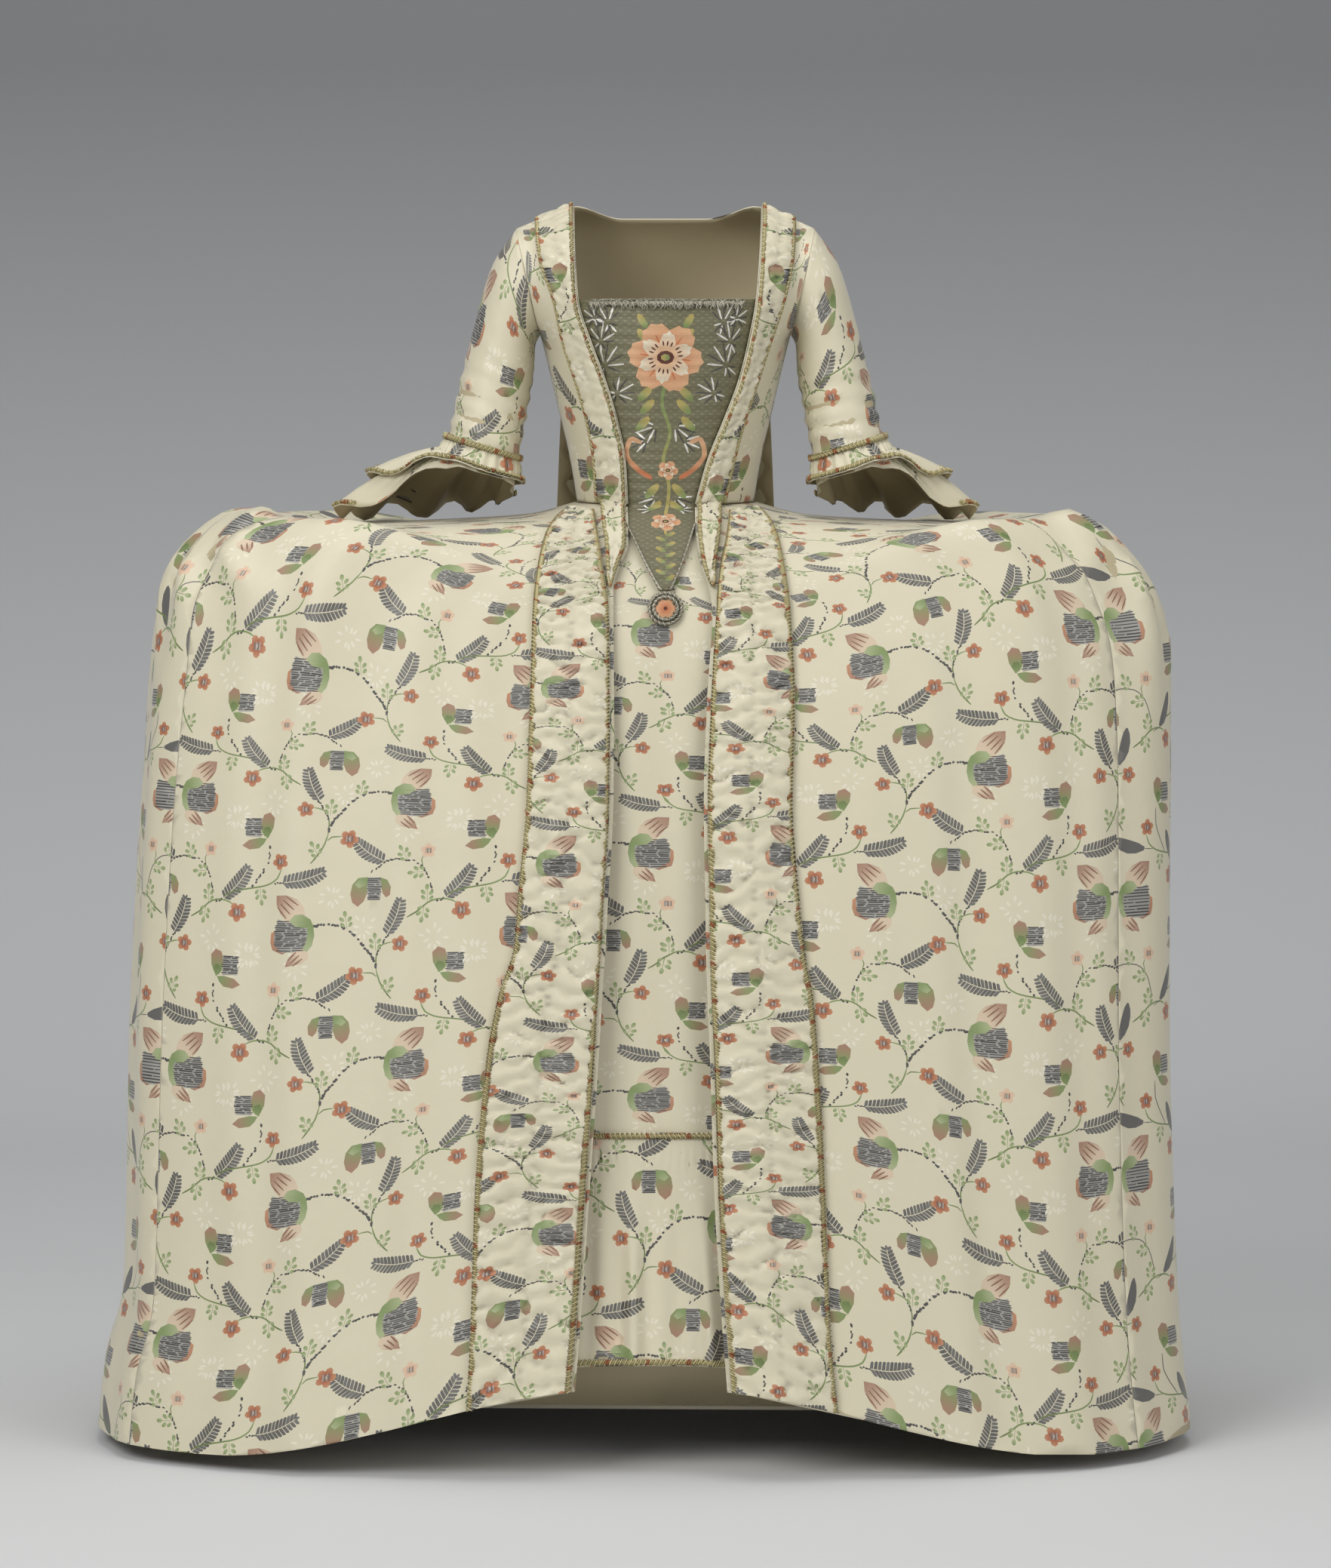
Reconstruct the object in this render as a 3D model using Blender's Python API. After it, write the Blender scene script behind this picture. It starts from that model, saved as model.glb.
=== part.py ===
# A robe a la francaise: an open gown with sack back, ruched robings and sleeve
# flounces, worn over its matching petticoat and pinned to a pointed stomacher.
# Every piece is a thin wall of cloth. The wearer and the side hoops are absent,
# so the gown keeps the hollow form that they gave it.
# Metres. The wearer faces -Y, +X is the wearer's left. Heights in the tables are
# above the floor; the origin lies between the shoulders, where the gown hangs.

import math
from collections import namedtuple

import bpy
from mathutils import Vector

# Driving dimensions
SHOULDER_HEIGHT = 1.313
WAIST_HEIGHT = 1.000
CLOTH = 0.0016
FLOUNCE_CLOTH = 0.0012
SEAM_GAP = 0.0005
LEFT, RIGHT = 1, -1

# How far each layer's outer face lies from the gown's own surface
STOMACHER_LIFT = -0.0032
PETTICOAT_LIFT = -0.0070
PETTICOAT_HEM_LIFT = -0.034
ROBING_LIFT = 0.0026
SKIRT_ROBING_LIFT = 0.0040
BRAID_GAP = 0.0004
BRAID_WIDTH = 0.0056
BRAID_HEIGHT = 0.0020
BRAID_EDGE = 0.0004

# Rings of the skirt over the hoops, from the waist seam to the hem. The middle of
# the front stands at front_height, and beyond its side's spread, a share of the half
# width, the ring climbs or falls to the height of its side.
Ring = namedtuple(
    "Ring",
    "place right_height left_height front_height back_height right_half left_half front back power"
    " right_spread left_spread",
)
SKIRT_RINGS = [
    Ring(0, 1.000, 1.000, 0.998, 0.998, 0.0940, 0.0940, 0.112, 0.086, 2.0, 0.25, 0.25),
    Ring(1, 0.986, 0.986, 0.980, 0.984, 0.1500, 0.1500, 0.122, 0.108, 2.1, 0.25, 0.25),
    Ring(2, 0.979, 0.979, 0.960, 0.970, 0.2600, 0.2550, 0.134, 0.136, 2.3, 0.25, 0.25),
    Ring(3, 0.975, 0.976, 0.938, 0.954, 0.3680, 0.3550, 0.146, 0.162, 2.5, 0.25, 0.25),
    Ring(4, 0.986, 0.985, 0.915, 0.932, 0.4380, 0.4220, 0.157, 0.184, 2.7, 0.25, 0.25),
    Ring(5, 0.951, 0.946, 0.890, 0.902, 0.5000, 0.4790, 0.167, 0.200, 2.8, 0.25, 0.25),
    Ring(6, 0.905, 0.905, 0.855, 0.862, 0.5290, 0.5100, 0.178, 0.214, 2.8, 0.25, 0.25),
    Ring(7, 0.820, 0.835, 0.800, 0.800, 0.5440, 0.5320, 0.192, 0.226, 2.8, 0.25, 0.25),
    Ring(8, 0.690, 0.690, 0.690, 0.690, 0.5580, 0.5385, 0.212, 0.246, 2.8, 0.25, 0.25),
    Ring(9, 0.450, 0.450, 0.470, 0.450, 0.5720, 0.5385, 0.238, 0.276, 2.8, 0.22, 0.22),
    Ring(10, 0.170, 0.170, 0.250, 0.170, 0.5800, 0.5460, 0.264, 0.312, 2.8, 0.18, 0.14),
    Ring(11, 0.085, 0.082, 0.165, 0.080, 0.6000, 0.5530, 0.276, 0.328, 2.8, 0.12, 0.06),
    Ring(12, 0.016, 0.016, 0.096, 0.012, 0.6080, 0.5610, 0.286, 0.340, 2.8, 0.08, 0.02),
]
SKIRT_PLACES = [0, 0.5, 1, 1.5, 2, 3, 4, 4.5, 5, 5.5, 6, 6.5, 7, 7.5, 8, 8.6, 9.2, 10, 11, 12]
SPREAD_TO = 0.80
SIDE_SEAM_ANGLE = {LEFT: 57.0, RIGHT: 63.0}
WAIST_SEAM_ANGLE = 78.0
SEAM_TURN = 0.08
FRONT_SHARES = [0, 0.2, 0.38, 0.53, 0.65, 0.745, 0.83, 0.915, 1.0]
SIDE_SHARES = [0, 0.03, 0.07, 0.11, 0.145, 0.18, 0.215, 0.25, 0.29, 0.35, 0.44, 0.54, 0.64, 0.75, 0.87, 1.0]
UNDER_SACK = 0.016

# Pleats and soft folds of the skirt: a ridge runs from one angle to another between two rings
Fold = namedtuple("Fold", "side top_angle low_angle start end width height")
SKIRT_FOLDS = [
    Fold(LEFT, 78, 60, 3.6, 6.2, 5.0, 0.009),
    Fold(LEFT, 76, 71, 3.9, 7.8, 4.2, 0.015),
    Fold(LEFT, 88, 82, 3.9, 8.2, 4.2, 0.014),
    Fold(LEFT, 99, 96, 3.9, 8.6, 4.6, 0.012),
    Fold(LEFT, 43, 40, 4.0, 7.6, 6.5, 0.006),
    Fold(RIGHT, 82, 50, 3.3, 7.0, 5.2, 0.010),
    Fold(RIGHT, 84, 66, 3.6, 7.4, 4.6, 0.012),
    Fold(RIGHT, 92, 80, 3.6, 8.2, 4.6, 0.013),
    Fold(RIGHT, 102, 95, 3.8, 8.6, 4.6, 0.012),
    Fold(RIGHT, 40, 34, 4.2, 7.6, 6.5, 0.005),
]

# Front edges of the gown below the waist, as distances from the centre line
Edge = namedtuple("Edge", "height edge robing_inner robing_outer")
SKIRT_EDGES = {
    RIGHT: [
        Edge(1.000, 0.040, 0.0735, 0.0875),
        Edge(0.980, 0.039, 0.0730, 0.109),
        Edge(0.960, 0.039, 0.0690, 0.125),
        Edge(0.938, 0.047, 0.0655, 0.132),
        Edge(0.915, 0.054, 0.0615, 0.136),
        Edge(0.890, 0.0540, 0.0585, 0.138),
        Edge(0.800, 0.0532, 0.0575, 0.1405),
        Edge(0.690, 0.054, 0.058, 0.144),
        Edge(0.600, 0.059, 0.063, 0.1525),
        Edge(0.545, 0.062, 0.066, 0.157),
        Edge(0.500, 0.065, 0.069, 0.172),
        Edge(0.430, 0.069, 0.073, 0.185),
        Edge(0.300, 0.078, 0.082, 0.196),
        Edge(0.180, 0.086, 0.090, 0.200),
        Edge(0.080, 0.0945, 0.0985, 0.205),
    ],
    LEFT: [
        Edge(1.000, 0.031, 0.0640, 0.0830),
        Edge(0.980, 0.031, 0.0650, 0.104),
        Edge(0.960, 0.033, 0.0620, 0.117),
        Edge(0.938, 0.037, 0.0570, 0.123),
        Edge(0.915, 0.045, 0.0540, 0.127),
        Edge(0.890, 0.0485, 0.0525, 0.130),
        Edge(0.800, 0.043, 0.047, 0.134),
        Edge(0.690, 0.0395, 0.0435, 0.1315),
        Edge(0.600, 0.041, 0.045, 0.138),
        Edge(0.530, 0.042, 0.046, 0.146),
        Edge(0.500, 0.043, 0.047, 0.152),
        Edge(0.430, 0.046, 0.050, 0.158),
        Edge(0.300, 0.050, 0.054, 0.165),
        Edge(0.180, 0.057, 0.061, 0.170),
        Edge(0.080, 0.065, 0.069, 0.180),
    ],
}

# Sections of the bodice, from the waist up
Torso = namedtuple("Torso", "height half front back")
TORSO = [
    Torso(1.000, 0.094, 0.112, 0.086),
    Torso(1.050, 0.102, 0.114, 0.090),
    Torso(1.100, 0.113, 0.117, 0.097),
    Torso(1.150, 0.124, 0.121, 0.103),
    Torso(1.180, 0.132, 0.122, 0.105),
    Torso(1.210, 0.146, 0.118, 0.104),
    Torso(1.240, 0.158, 0.104, 0.098),
    Torso(1.260, 0.166, 0.090, 0.090),
    Torso(1.280, 0.174, 0.068, 0.078),
    Torso(1.300, 0.182, 0.030, 0.055),
    Torso(1.313, 0.188, -0.010, 0.010),
    Torso(1.345, 0.200, -0.010, 0.010),
]
SHOULDER_SLOPE = 0.42
STRAP_INNER = 0.097
BACK_NECK_HEIGHT = 1.300
ARMPIT_SHARE = 0.5
BODICE_SHARES = [1, 0.93, 0.85, 0.76, 0.67, 0.58, 0.5, 0.36, 0.2, 0.1, 0.0]

# Front edges of the bodice, as distances from the centre line
BodiceEdge = namedtuple("BodiceEdge", "height inner outer")
BODICE_EDGES = {
    RIGHT: [
        BodiceEdge(1.000, 0.0395, 0.0705),
        BodiceEdge(1.046, 0.0420, 0.0735),
        BodiceEdge(1.088, 0.0505, 0.0810),
        BodiceEdge(1.130, 0.0630, 0.0930),
        BodiceEdge(1.170, 0.0780, 0.1060),
        BodiceEdge(1.214, 0.0915, 0.1160),
        BodiceEdge(1.256, 0.0945, 0.1310),
        BodiceEdge(1.313, 0.0970, 0.1370),
    ],
    LEFT: [
        BodiceEdge(1.000, 0.0310, 0.0600),
        BodiceEdge(1.046, 0.0440, 0.0700),
        BodiceEdge(1.088, 0.0610, 0.0810),
        BodiceEdge(1.130, 0.0770, 0.0950),
        BodiceEdge(1.170, 0.0870, 0.1080),
        BodiceEdge(1.214, 0.0950, 0.1230),
        BodiceEdge(1.256, 0.0985, 0.1327),
        BodiceEdge(1.313, 0.1020, 0.1370),
    ],
}

# The stomacher, from its top edge to its point
StomacherRow = namedtuple("StomacherRow", "height right_half left_half")
STOMACHER = [
    StomacherRow(1.214, 0.0985, 0.1010),
    StomacherRow(1.170, 0.0850, 0.0930),
    StomacherRow(1.130, 0.0700, 0.0830),
    StomacherRow(1.088, 0.0570, 0.0670),
    StomacherRow(1.046, 0.0480, 0.0500),
    StomacherRow(1.000, 0.0375, 0.0290),
    StomacherRow(0.955, 0.0230, 0.0185),
    StomacherRow(0.914, 0.0060, 0.0060),
]
STOMACHER_HEIGHTS = [1.214, 1.17, 1.13, 1.088, 1.046, 1.0, 0.975, 0.945, 0.914]
STOMACHER_CLOTH = 0.0018
LACE_SPAN = (-0.0885, 0.0920)
TAB_HEIGHT = 0.8945
TAB_RADIUS = 0.0180
TAB_LIFT = -0.0047

# Sleeve rings, from armhole to cuff: the highest and the lowest point of each
SleeveRing = namedtuple("SleeveRing", "place outer_x outer_height inner_x inner_height centre_y half_depth")
SLEEVE = [
    SleeveRing(0, 0.158, 1.2890, 0.1330, 1.176, 0.006, 0.0560),
    SleeveRing(1, 0.183, 1.2520, 0.1380, 1.165, 0.003, 0.0540),
    SleeveRing(2, 0.206, 1.1750, 0.1395, 1.138, 0.000, 0.0480),
    SleeveRing(3, 0.219, 1.1210, 0.1460, 1.100, -0.006, 0.0440),
    SleeveRing(4, 0.229, 1.0750, 0.1540, 1.058, -0.016, 0.0420),
    SleeveRing(5, 0.235, 1.0530, 0.1600, 1.030, -0.024, 0.0410),
]
SLEEVE_AROUND = 16
SLEEVE_PLACES = [0, 0.5, 1, 1.8, 2.6, 3.6, 5]
ARMHOLE_GAP = 0.0018

# Lower edge of the long sleeve flounce, round the arm from its outer side by the
# back. It is hardly deeper than the cuff in front and falls far behind the elbow.
FlounceEdge = namedtuple("FlounceEdge", "angle x y height")
FLOUNCE_EDGE = [
    FlounceEdge(0, 0.352, 0.020, 0.9930),
    FlounceEdge(30, 0.345, 0.080, 0.9930),
    FlounceEdge(60, 0.300, 0.118, 0.9940),
    FlounceEdge(90, 0.240, 0.128, 0.9960),
    FlounceEdge(120, 0.198, 0.092, 0.9985),
    FlounceEdge(150, 0.174, 0.038, 1.0040),
    FlounceEdge(180, 0.163, -0.020, 1.0160),
    FlounceEdge(210, 0.170, -0.056, 1.0250),
    FlounceEdge(240, 0.182, -0.068, 1.0290),
    FlounceEdge(270, 0.199, -0.072, 1.0340),
    FlounceEdge(295, 0.218, -0.068, 1.0400),
    FlounceEdge(315, 0.240, -0.056, 1.0400),
    FlounceEdge(330, 0.274, -0.036, 1.0240),
    FlounceEdge(345, 0.320, -0.010, 1.0020),
    FlounceEdge(360, 0.352, 0.020, 0.9930),
]
FLOUNCE_REACH = {RIGHT: 1.0, LEFT: 0.86}
FLOUNCE_CENTRE = Vector((0.1975, -0.024, 1.0415))
FLOUNCE_WAVES = 14
LOWER_FLOUNCE = [-0.004, 0.0, 0.35, 0.68, 1.0]
UPPER_FLOUNCE = [-0.022, 0.0, 0.35, 0.66]
LONG_FLOUNCE = (-36, 168)

# The sack back, from the neck seam to the hem
SackRow = namedtuple("SackRow", "height half depth_behind bow pleat")
SACK = [
    SackRow(1.297, 0.094, 0.0680, 0.010, 0.0016),
    SackRow(1.270, 0.102, 0.0950, 0.014, 0.0020),
    SackRow(1.240, 0.105, 0.1060, 0.015, 0.0026),
    SackRow(1.200, 0.108, 0.1120, 0.014, 0.0034),
    SackRow(1.150, 0.111, 0.1190, 0.012, 0.0045),
    SackRow(1.100, 0.113, 0.1310, 0.010, 0.0055),
    SackRow(1.040, 0.116, 0.1490, 0.008, 0.0065),
    SackRow(0.980, 0.119, 0.1740, 0.006, 0.0080),
    SackRow(0.920, 0.128, 0.2060, 0.004, 0.0095),
    SackRow(0.860, 0.140, 0.2260, 0.003, 0.0110),
    SackRow(0.780, 0.156, 0.2420, 0.003, 0.0130),
    SackRow(0.650, 0.178, 0.2620, 0.003, 0.0160),
    SackRow(0.500, 0.202, 0.2830, 0.003, 0.0190),
    SackRow(0.330, 0.228, 0.3050, 0.003, 0.0220),
    SackRow(0.170, 0.254, 0.3240, 0.003, 0.0250),
    SackRow(0.012, 0.282, 0.3470, 0.003, 0.0280),
]
SACK_HEIGHTS = [1.297, 1.27, 1.24, 1.20, 1.14, 1.07, 1.00, 0.93, 0.86, 0.78, 0.65, 0.48, 0.30, 0.15, 0.012]
SACK_SHARES = [0, 0.07, 0.11, 0.20, 0.25, 0.45, 0.65, 0.70, 0.79, 0.83, 1.0]
PLEAT_STEPS = [(0.07, 0.11, 0.79, 0.83), (0.20, 0.25, 0.65, 0.70)]

# Ruching
SKIRT_ROBING_GATHERS = 34
BODICE_ROBING_GATHERS = 17
TAIL_ROWS = [0.3, 0.65, 1, 1.5, 2, 2.6, 3.2, 4, 4.6, 5.4, 6.2]
TAIL_COLUMNS = (0.07, 0.80)
GATHER_SHARE = 0.05

# The petticoat and the flounce on its front
PETTICOAT_PLACES = [0, 1, 2, 3, 4, 5, 6, 7, 8, 9, 10, 11.4]
PETTICOAT_FRONT_ANGLES = [-63, -46, -28, -12, 0, 12, 26, 41, 57]
PETTICOAT_BACK_ANGLES = [57.05, 75, 92, 112, 132, 150, 166, 180, -166, -150, -132, -112, -95, -79, -63.05]
PETTICOAT_BACK_LIFT = -0.0021
PETTICOAT_WAIST_LIFT = -0.0020
FLOUNCE_HEIGHTS = [0.357, 0.329, 0.300, 0.250, 0.185, 0.119]
FLOUNCE_STITCH = 0.329
PETTICOAT_FLOUNCE_SPAN = (-0.112, 0.100)
PETTICOAT_FLOUNCE_COLUMNS = 24

Finish = namedtuple("Finish", "colour roughness metallic")
FINISHES = {
    "brocade": Finish((0.80, 0.74, 0.58), 0.45, 0.0),
    "braid": Finish((0.52, 0.45, 0.27), 0.60, 0.2),
    "stomacher_cloth": Finish((0.36, 0.35, 0.24), 0.45, 0.4),
    "silver_lace": Finish((0.55, 0.53, 0.44), 0.40, 0.5),
}

# A place on the cloth: where it is, and which way its outer face looks there
Spot = namedtuple("Spot", "point normal")
# A row of ruching: where it lies down the panel, whether it stands up, and whether the panel bends there
GatherRow = namedtuple("GatherRow", "row crest bend")


# Curves, tables and cloth walls

def clear_scene():
    for old in list(bpy.data.objects):
        bpy.data.objects.remove(old)


def smoothstep(low, high, value):
    share = min(1.0, max(0.0, (value - low) / (high - low)))
    return share * share * (3 - 2 * share)


def table_value(rows, key, column, at):
    """The column's value on a smooth curve through the table's rows, which run up or down in the key."""
    keys = [getattr(row, key) for row in rows]
    values = [getattr(row, column) for row in rows]
    if keys[0] > keys[-1]:
        keys.reverse()
        values.reverse()
    at = min(max(at, keys[0]), keys[-1])
    i = 0
    while i < len(keys) - 2 and at > keys[i + 1]:
        i += 1
    slopes = [(values[j + 1] - values[j]) / (keys[j + 1] - keys[j]) for j in range(len(keys) - 1)]

    def tangent(j):
        if j == 0:
            return slopes[0]
        if j == len(keys) - 1:
            return slopes[-1]
        before, after = slopes[j - 1], slopes[j]
        return 0.0 if before * after <= 0 else 2 * before * after / (before + after)

    span = keys[i + 1] - keys[i]
    t = (at - keys[i]) / span
    return (
        (2 * t**3 - 3 * t**2 + 1) * values[i]
        + (t**3 - 2 * t**2 + t) * span * tangent(i)
        + (3 * t**2 - 2 * t**3) * values[i + 1]
        + (t**3 - t**2) * span * tangent(i + 1)
    )


def bisect_place(column, height):
    """The skirt ring at which the named column stands at that height."""
    low, high = 0.0, 12.0
    for _ in range(30):
        middle = (low + high) / 2
        if ring_value(column, middle) > height:
            low = middle
        else:
            high = middle
    return (low + high) / 2


def material_of(finish):
    made = bpy.data.materials.get(finish)
    if made is None:
        made = bpy.data.materials.new(finish)
        made.use_nodes = True
        shader = made.node_tree.nodes["Principled BSDF"]
        colour, roughness, metallic = FINISHES[finish]
        shader.inputs["Base Color"].default_value = (*colour, 1.0)
        shader.inputs["Roughness"].default_value = roughness
        shader.inputs["Metallic"].default_value = metallic
    return made


def add_mesh(name, points, faces, finish):
    """One closed solid. Its points are lowered so that the origin lies between the shoulders."""
    mesh = bpy.data.meshes.new(name)
    mesh.from_pydata([Vector(p) - Vector((0, 0, SHOULDER_HEIGHT)) for p in points], [], faces)
    mesh.validate()
    turn_outward(mesh)
    mesh.shade_smooth()
    mesh.materials.append(material_of(finish))
    made = bpy.data.objects.new(name, mesh)
    bpy.context.scene.collection.objects.link(made)
    return made


def turn_outward(mesh):
    """Turns the faces round where the mesh holds a negative volume."""
    volume = 0.0
    for face in mesh.polygons:
        corners = [mesh.vertices[v].co for v in face.vertices]
        for i in range(1, len(corners) - 1):
            volume += corners[0].dot(corners[i].cross(corners[i + 1]))
    if volume < 0:
        mesh.flip_normals()


def with_normals(points, outward, closed=False):
    """Spots for a grid of points. Each normal is turned to the side of the direction that outward gives."""
    rows, columns = len(points), len(points[0])
    normals = [[Vector() for _ in range(columns)] for _ in range(rows)]
    for r in range(rows - 1):
        for c in range(columns if closed else columns - 1):
            d = (c + 1) % columns
            face = (points[r + 1][d] - points[r][c]).cross(points[r][d] - points[r + 1][c])
            for rr, cc in ((r, c), (r + 1, c), (r, d), (r + 1, d)):
                normals[rr][cc] += face
    spots = []
    for points_row, normals_row in zip(points, normals):
        row = []
        for p, n in zip(points_row, normals_row):
            n = n.normalized()
            row.append(Spot(p, n if n.dot(outward(p)) >= 0 else -n))
        spots.append(row)
    return spots


def raised(grid, lift):
    """The grid's points moved out by a number, or by a function of row and column."""
    return [
        [s.point + s.normal * (lift(r, c) if callable(lift) else lift) for c, s in enumerate(row)]
        for r, row in enumerate(grid)
    ]


def cloth_wall(name, outer, inner, finish, closed=False, inner_columns=None):
    """A closed wall between an outer and an inner grid. The inner one may skip some of the outer's columns."""
    rows, columns = len(outer), len(outer[0])
    kept = inner_columns or list(range(columns))
    points = [p for row in outer for p in row] + [inner[r][c] for r in range(rows) for c in kept]
    under, width = rows * columns, len(kept)
    faces = []

    def quad(a, b, c, d):
        faces.extend([(a, b, c), (a, c, d)])

    for r in range(rows - 1):
        for c in range(columns if closed else columns - 1):
            d = (c + 1) % columns
            quad(r * columns + c, (r + 1) * columns + c, (r + 1) * columns + d, r * columns + d)
        for c in range(width if closed else width - 1):
            d = (c + 1) % width
            low, top = under + (r + 1) * width, under + r * width
            quad(top + d, low + d, low + c, top + c)
        if not closed:
            quad((r + 1) * columns, r * columns, under + r * width, under + (r + 1) * width)
            quad(
                r * columns + columns - 1,
                (r + 1) * columns + columns - 1,
                under + (r + 1) * width + width - 1,
                under + r * width + width - 1,
            )
    low, low_under = (rows - 1) * columns, under + (rows - 1) * width
    if width == columns:
        for c in range(columns if closed else columns - 1):
            d = (c + 1) % columns
            quad(c, d, under + d, under + c)
            quad(low + d, low + c, low_under + c, low_under + d)
    else:
        faces.append(tuple(range(columns)) + tuple(under + c for c in reversed(range(width))))
        faces.append(tuple(low + c for c in reversed(range(columns))) + tuple(low_under + c for c in range(width)))
    return add_mesh(name, points, faces, finish)


def panel(name, grid, finish, thickness=CLOTH, closed=False):
    return cloth_wall(name, raised(grid, 0.0), raised(grid, -thickness), finish, closed)


def braid(name, rim, beside, finish="braid", width=BRAID_WIDTH, closed=False, lift=BRAID_GAP, edge=BRAID_EDGE):
    """A narrow woven braid along a path of spots, its feet laid from the rim towards the spots beside it."""
    points = []
    for near, far in zip(rim, beside):
        across = (far.point - near.point).normalized()
        foot = near.point + across * edge + near.normal * lift
        points += [foot, foot + across * width, foot + across * (width / 2) + near.normal * BRAID_HEIGHT]
    count = len(rim)
    faces = []
    for i in range(count if closed else count - 1):
        a, b = 3 * i, 3 * ((i + 1) % count)
        for k in range(3):
            m = (k + 1) % 3
            faces += [(a + k, a + m, b + m), (a + k, b + m, b + k)]
    if not closed:
        end = 3 * (count - 1)
        faces += [(2, 1, 0), (end, end + 1, end + 2)]
    return add_mesh(name, points, faces, finish)


def on_grid(grid, row, column):
    """The spot at a fractional row and column of a grid, on the very triangles that cloth_wall makes of it."""
    r, c = min(int(row), len(grid) - 2), min(int(column), len(grid[0]) - 2)
    s, t = row - r, column - c
    here, low, across, over = grid[r][c], grid[r + 1][c], grid[r + 1][c + 1], grid[r][c + 1]

    def blend(field):
        a, b, d, e = (getattr(spot, field) for spot in (here, low, across, over))
        return a + (b - a) * s + (d - b) * t if s >= t else a + (e - a) * t + (d - e) * s

    return Spot(blend("point"), blend("normal").normalized())


# The skirt's own surface

def ring_value(column, place):
    return table_value(SKIRT_RINGS, "place", column, place)


def fold_height(place, angle):
    total = 0.0
    for fold in SKIRT_FOLDS:
        if angle * fold.side <= 0 or not fold.start < place < fold.end:
            continue
        share = (place - fold.start) / (fold.end - fold.start)
        centre = fold.top_angle + (fold.low_angle - fold.top_angle) * min(1.0, share * 1.4)
        fade = smoothstep(0, 0.2, share) * (1 - smoothstep(0.5, 1, share))
        total += fold.height * fade * math.exp(-(((abs(angle) - centre) / fold.width) ** 2))
    return total


def skirt_surface(place, angle):
    """A point of the gown's skirt: place runs from the waist to the hem, angle from the front round either side."""
    a = math.radians(abs(angle))
    side, word = (LEFT, "left") if angle >= 0 else (RIGHT, "right")
    half = ring_value(word + "_half", place)
    power = 2 / ring_value("power", place)
    x = half * math.sin(a) ** power
    share = smoothstep(ring_value(word + "_spread", place), SPREAD_TO, x / half)
    facing = "front" if abs(angle) < 90 else "back"
    y = ring_value(facing, place) * abs(math.cos(a)) ** power
    middle = ring_value(facing + "_height", place)
    height = middle + (ring_value(word + "_height", place) - middle) * share
    return Vector((side * x, -y if facing == "front" else y, height))


def skirt_spot(place, angle, lift=0.0, folds=True):
    """The skirt's surface with its folds, moved out along its normal."""
    here = skirt_surface(place, angle)
    down = skirt_surface(min(place + 0.4, 12), angle) - skirt_surface(max(place - 0.4, 0), angle)
    if abs(angle) < 1:
        around = Vector((1, 0, 0))
    elif abs(angle) > 179:
        around = Vector((-1, 0, 0))
    else:
        around = skirt_surface(place, angle + 0.5) - skirt_surface(place, angle - 0.5)
    normal = down.cross(around).normalized()
    out = lift + (fold_height(place, angle) if folds else 0.0)
    return Spot(here + normal * out, normal)


def angle_at(place, side, x):
    """The angle at which a ring stands that far from the centre line, in front."""
    half = ring_value("left_half" if side == LEFT else "right_half", place)
    return side * math.degrees(math.asin(min(1.0, (x / half) ** (ring_value("power", place) / 2))))


def seam_angle(place, side):
    low = SIDE_SEAM_ANGLE[side]
    return low + (WAIST_SEAM_ANGLE - low) * (1 - smoothstep(0, 4, place))


# The bodice's own surface

def torso_y(x, height, back):
    drop = max(0.0, abs(x) - STRAP_INNER) * SHOULDER_SLOPE
    at = height + drop
    half = table_value(TORSO, "height", "half", at)
    depth = table_value(TORSO, "height", "back" if back else "front", at)
    reach = math.sqrt(max(0.0, 1 - (x / half) ** 2))
    return depth * reach if back else -depth * reach


def sleeve_spot(place, angle, side, lift=0.0):
    """A spot of the sleeve: angle 0 is the outer side, 90 the back, 180 the inner side and 270 the front."""
    value = {c: table_value(SLEEVE, "place", c, place) for c in SleeveRing._fields[1:]}
    outer = Vector((value["outer_x"], 0, value["outer_height"]))
    inner = Vector((value["inner_x"], 0, value["inner_height"]))
    a = math.radians(angle)
    depth = value["half_depth"]
    arm = (outer - inner) / 2
    point = (outer + inner) / 2 + Vector((0, value["centre_y"], 0))
    point += arm * math.cos(a) + Vector((0, depth * math.sin(a), 0))
    normal = (arm.normalized() * (math.cos(a) / arm.length) + Vector((0, math.sin(a) / depth, 0))).normalized()
    point += normal * lift
    return Spot(Vector((side * point.x, point.y, point.z)), Vector((side * normal.x, normal.y, normal.z)))


def bodice_side_point(share, side, back):
    """The bodice's outer edge: up the side seam, then round the front or back half of the armhole."""
    if share <= ARMPIT_SHARE:
        armpit = sleeve_spot(0, 180, side).point
        height = WAIST_HEIGHT + (armpit.z - WAIST_HEIGHT) * share / ARMPIT_SHARE
        x = table_value(TORSO, "height", "half", height)
        toward = smoothstep(0, 1, share / ARMPIT_SHARE)
        half_at_armpit = table_value(TORSO, "height", "half", armpit.z)
        x += (abs(armpit.x) - half_at_armpit) * toward
        return Vector((side * x, armpit.y * toward, max(height, WAIST_HEIGHT + SEAM_GAP)))
    turn = 180 * (share - ARMPIT_SHARE) / (1 - ARMPIT_SHARE)
    return sleeve_spot(0, 180 - turn if back else 180 + turn, side).point


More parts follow.
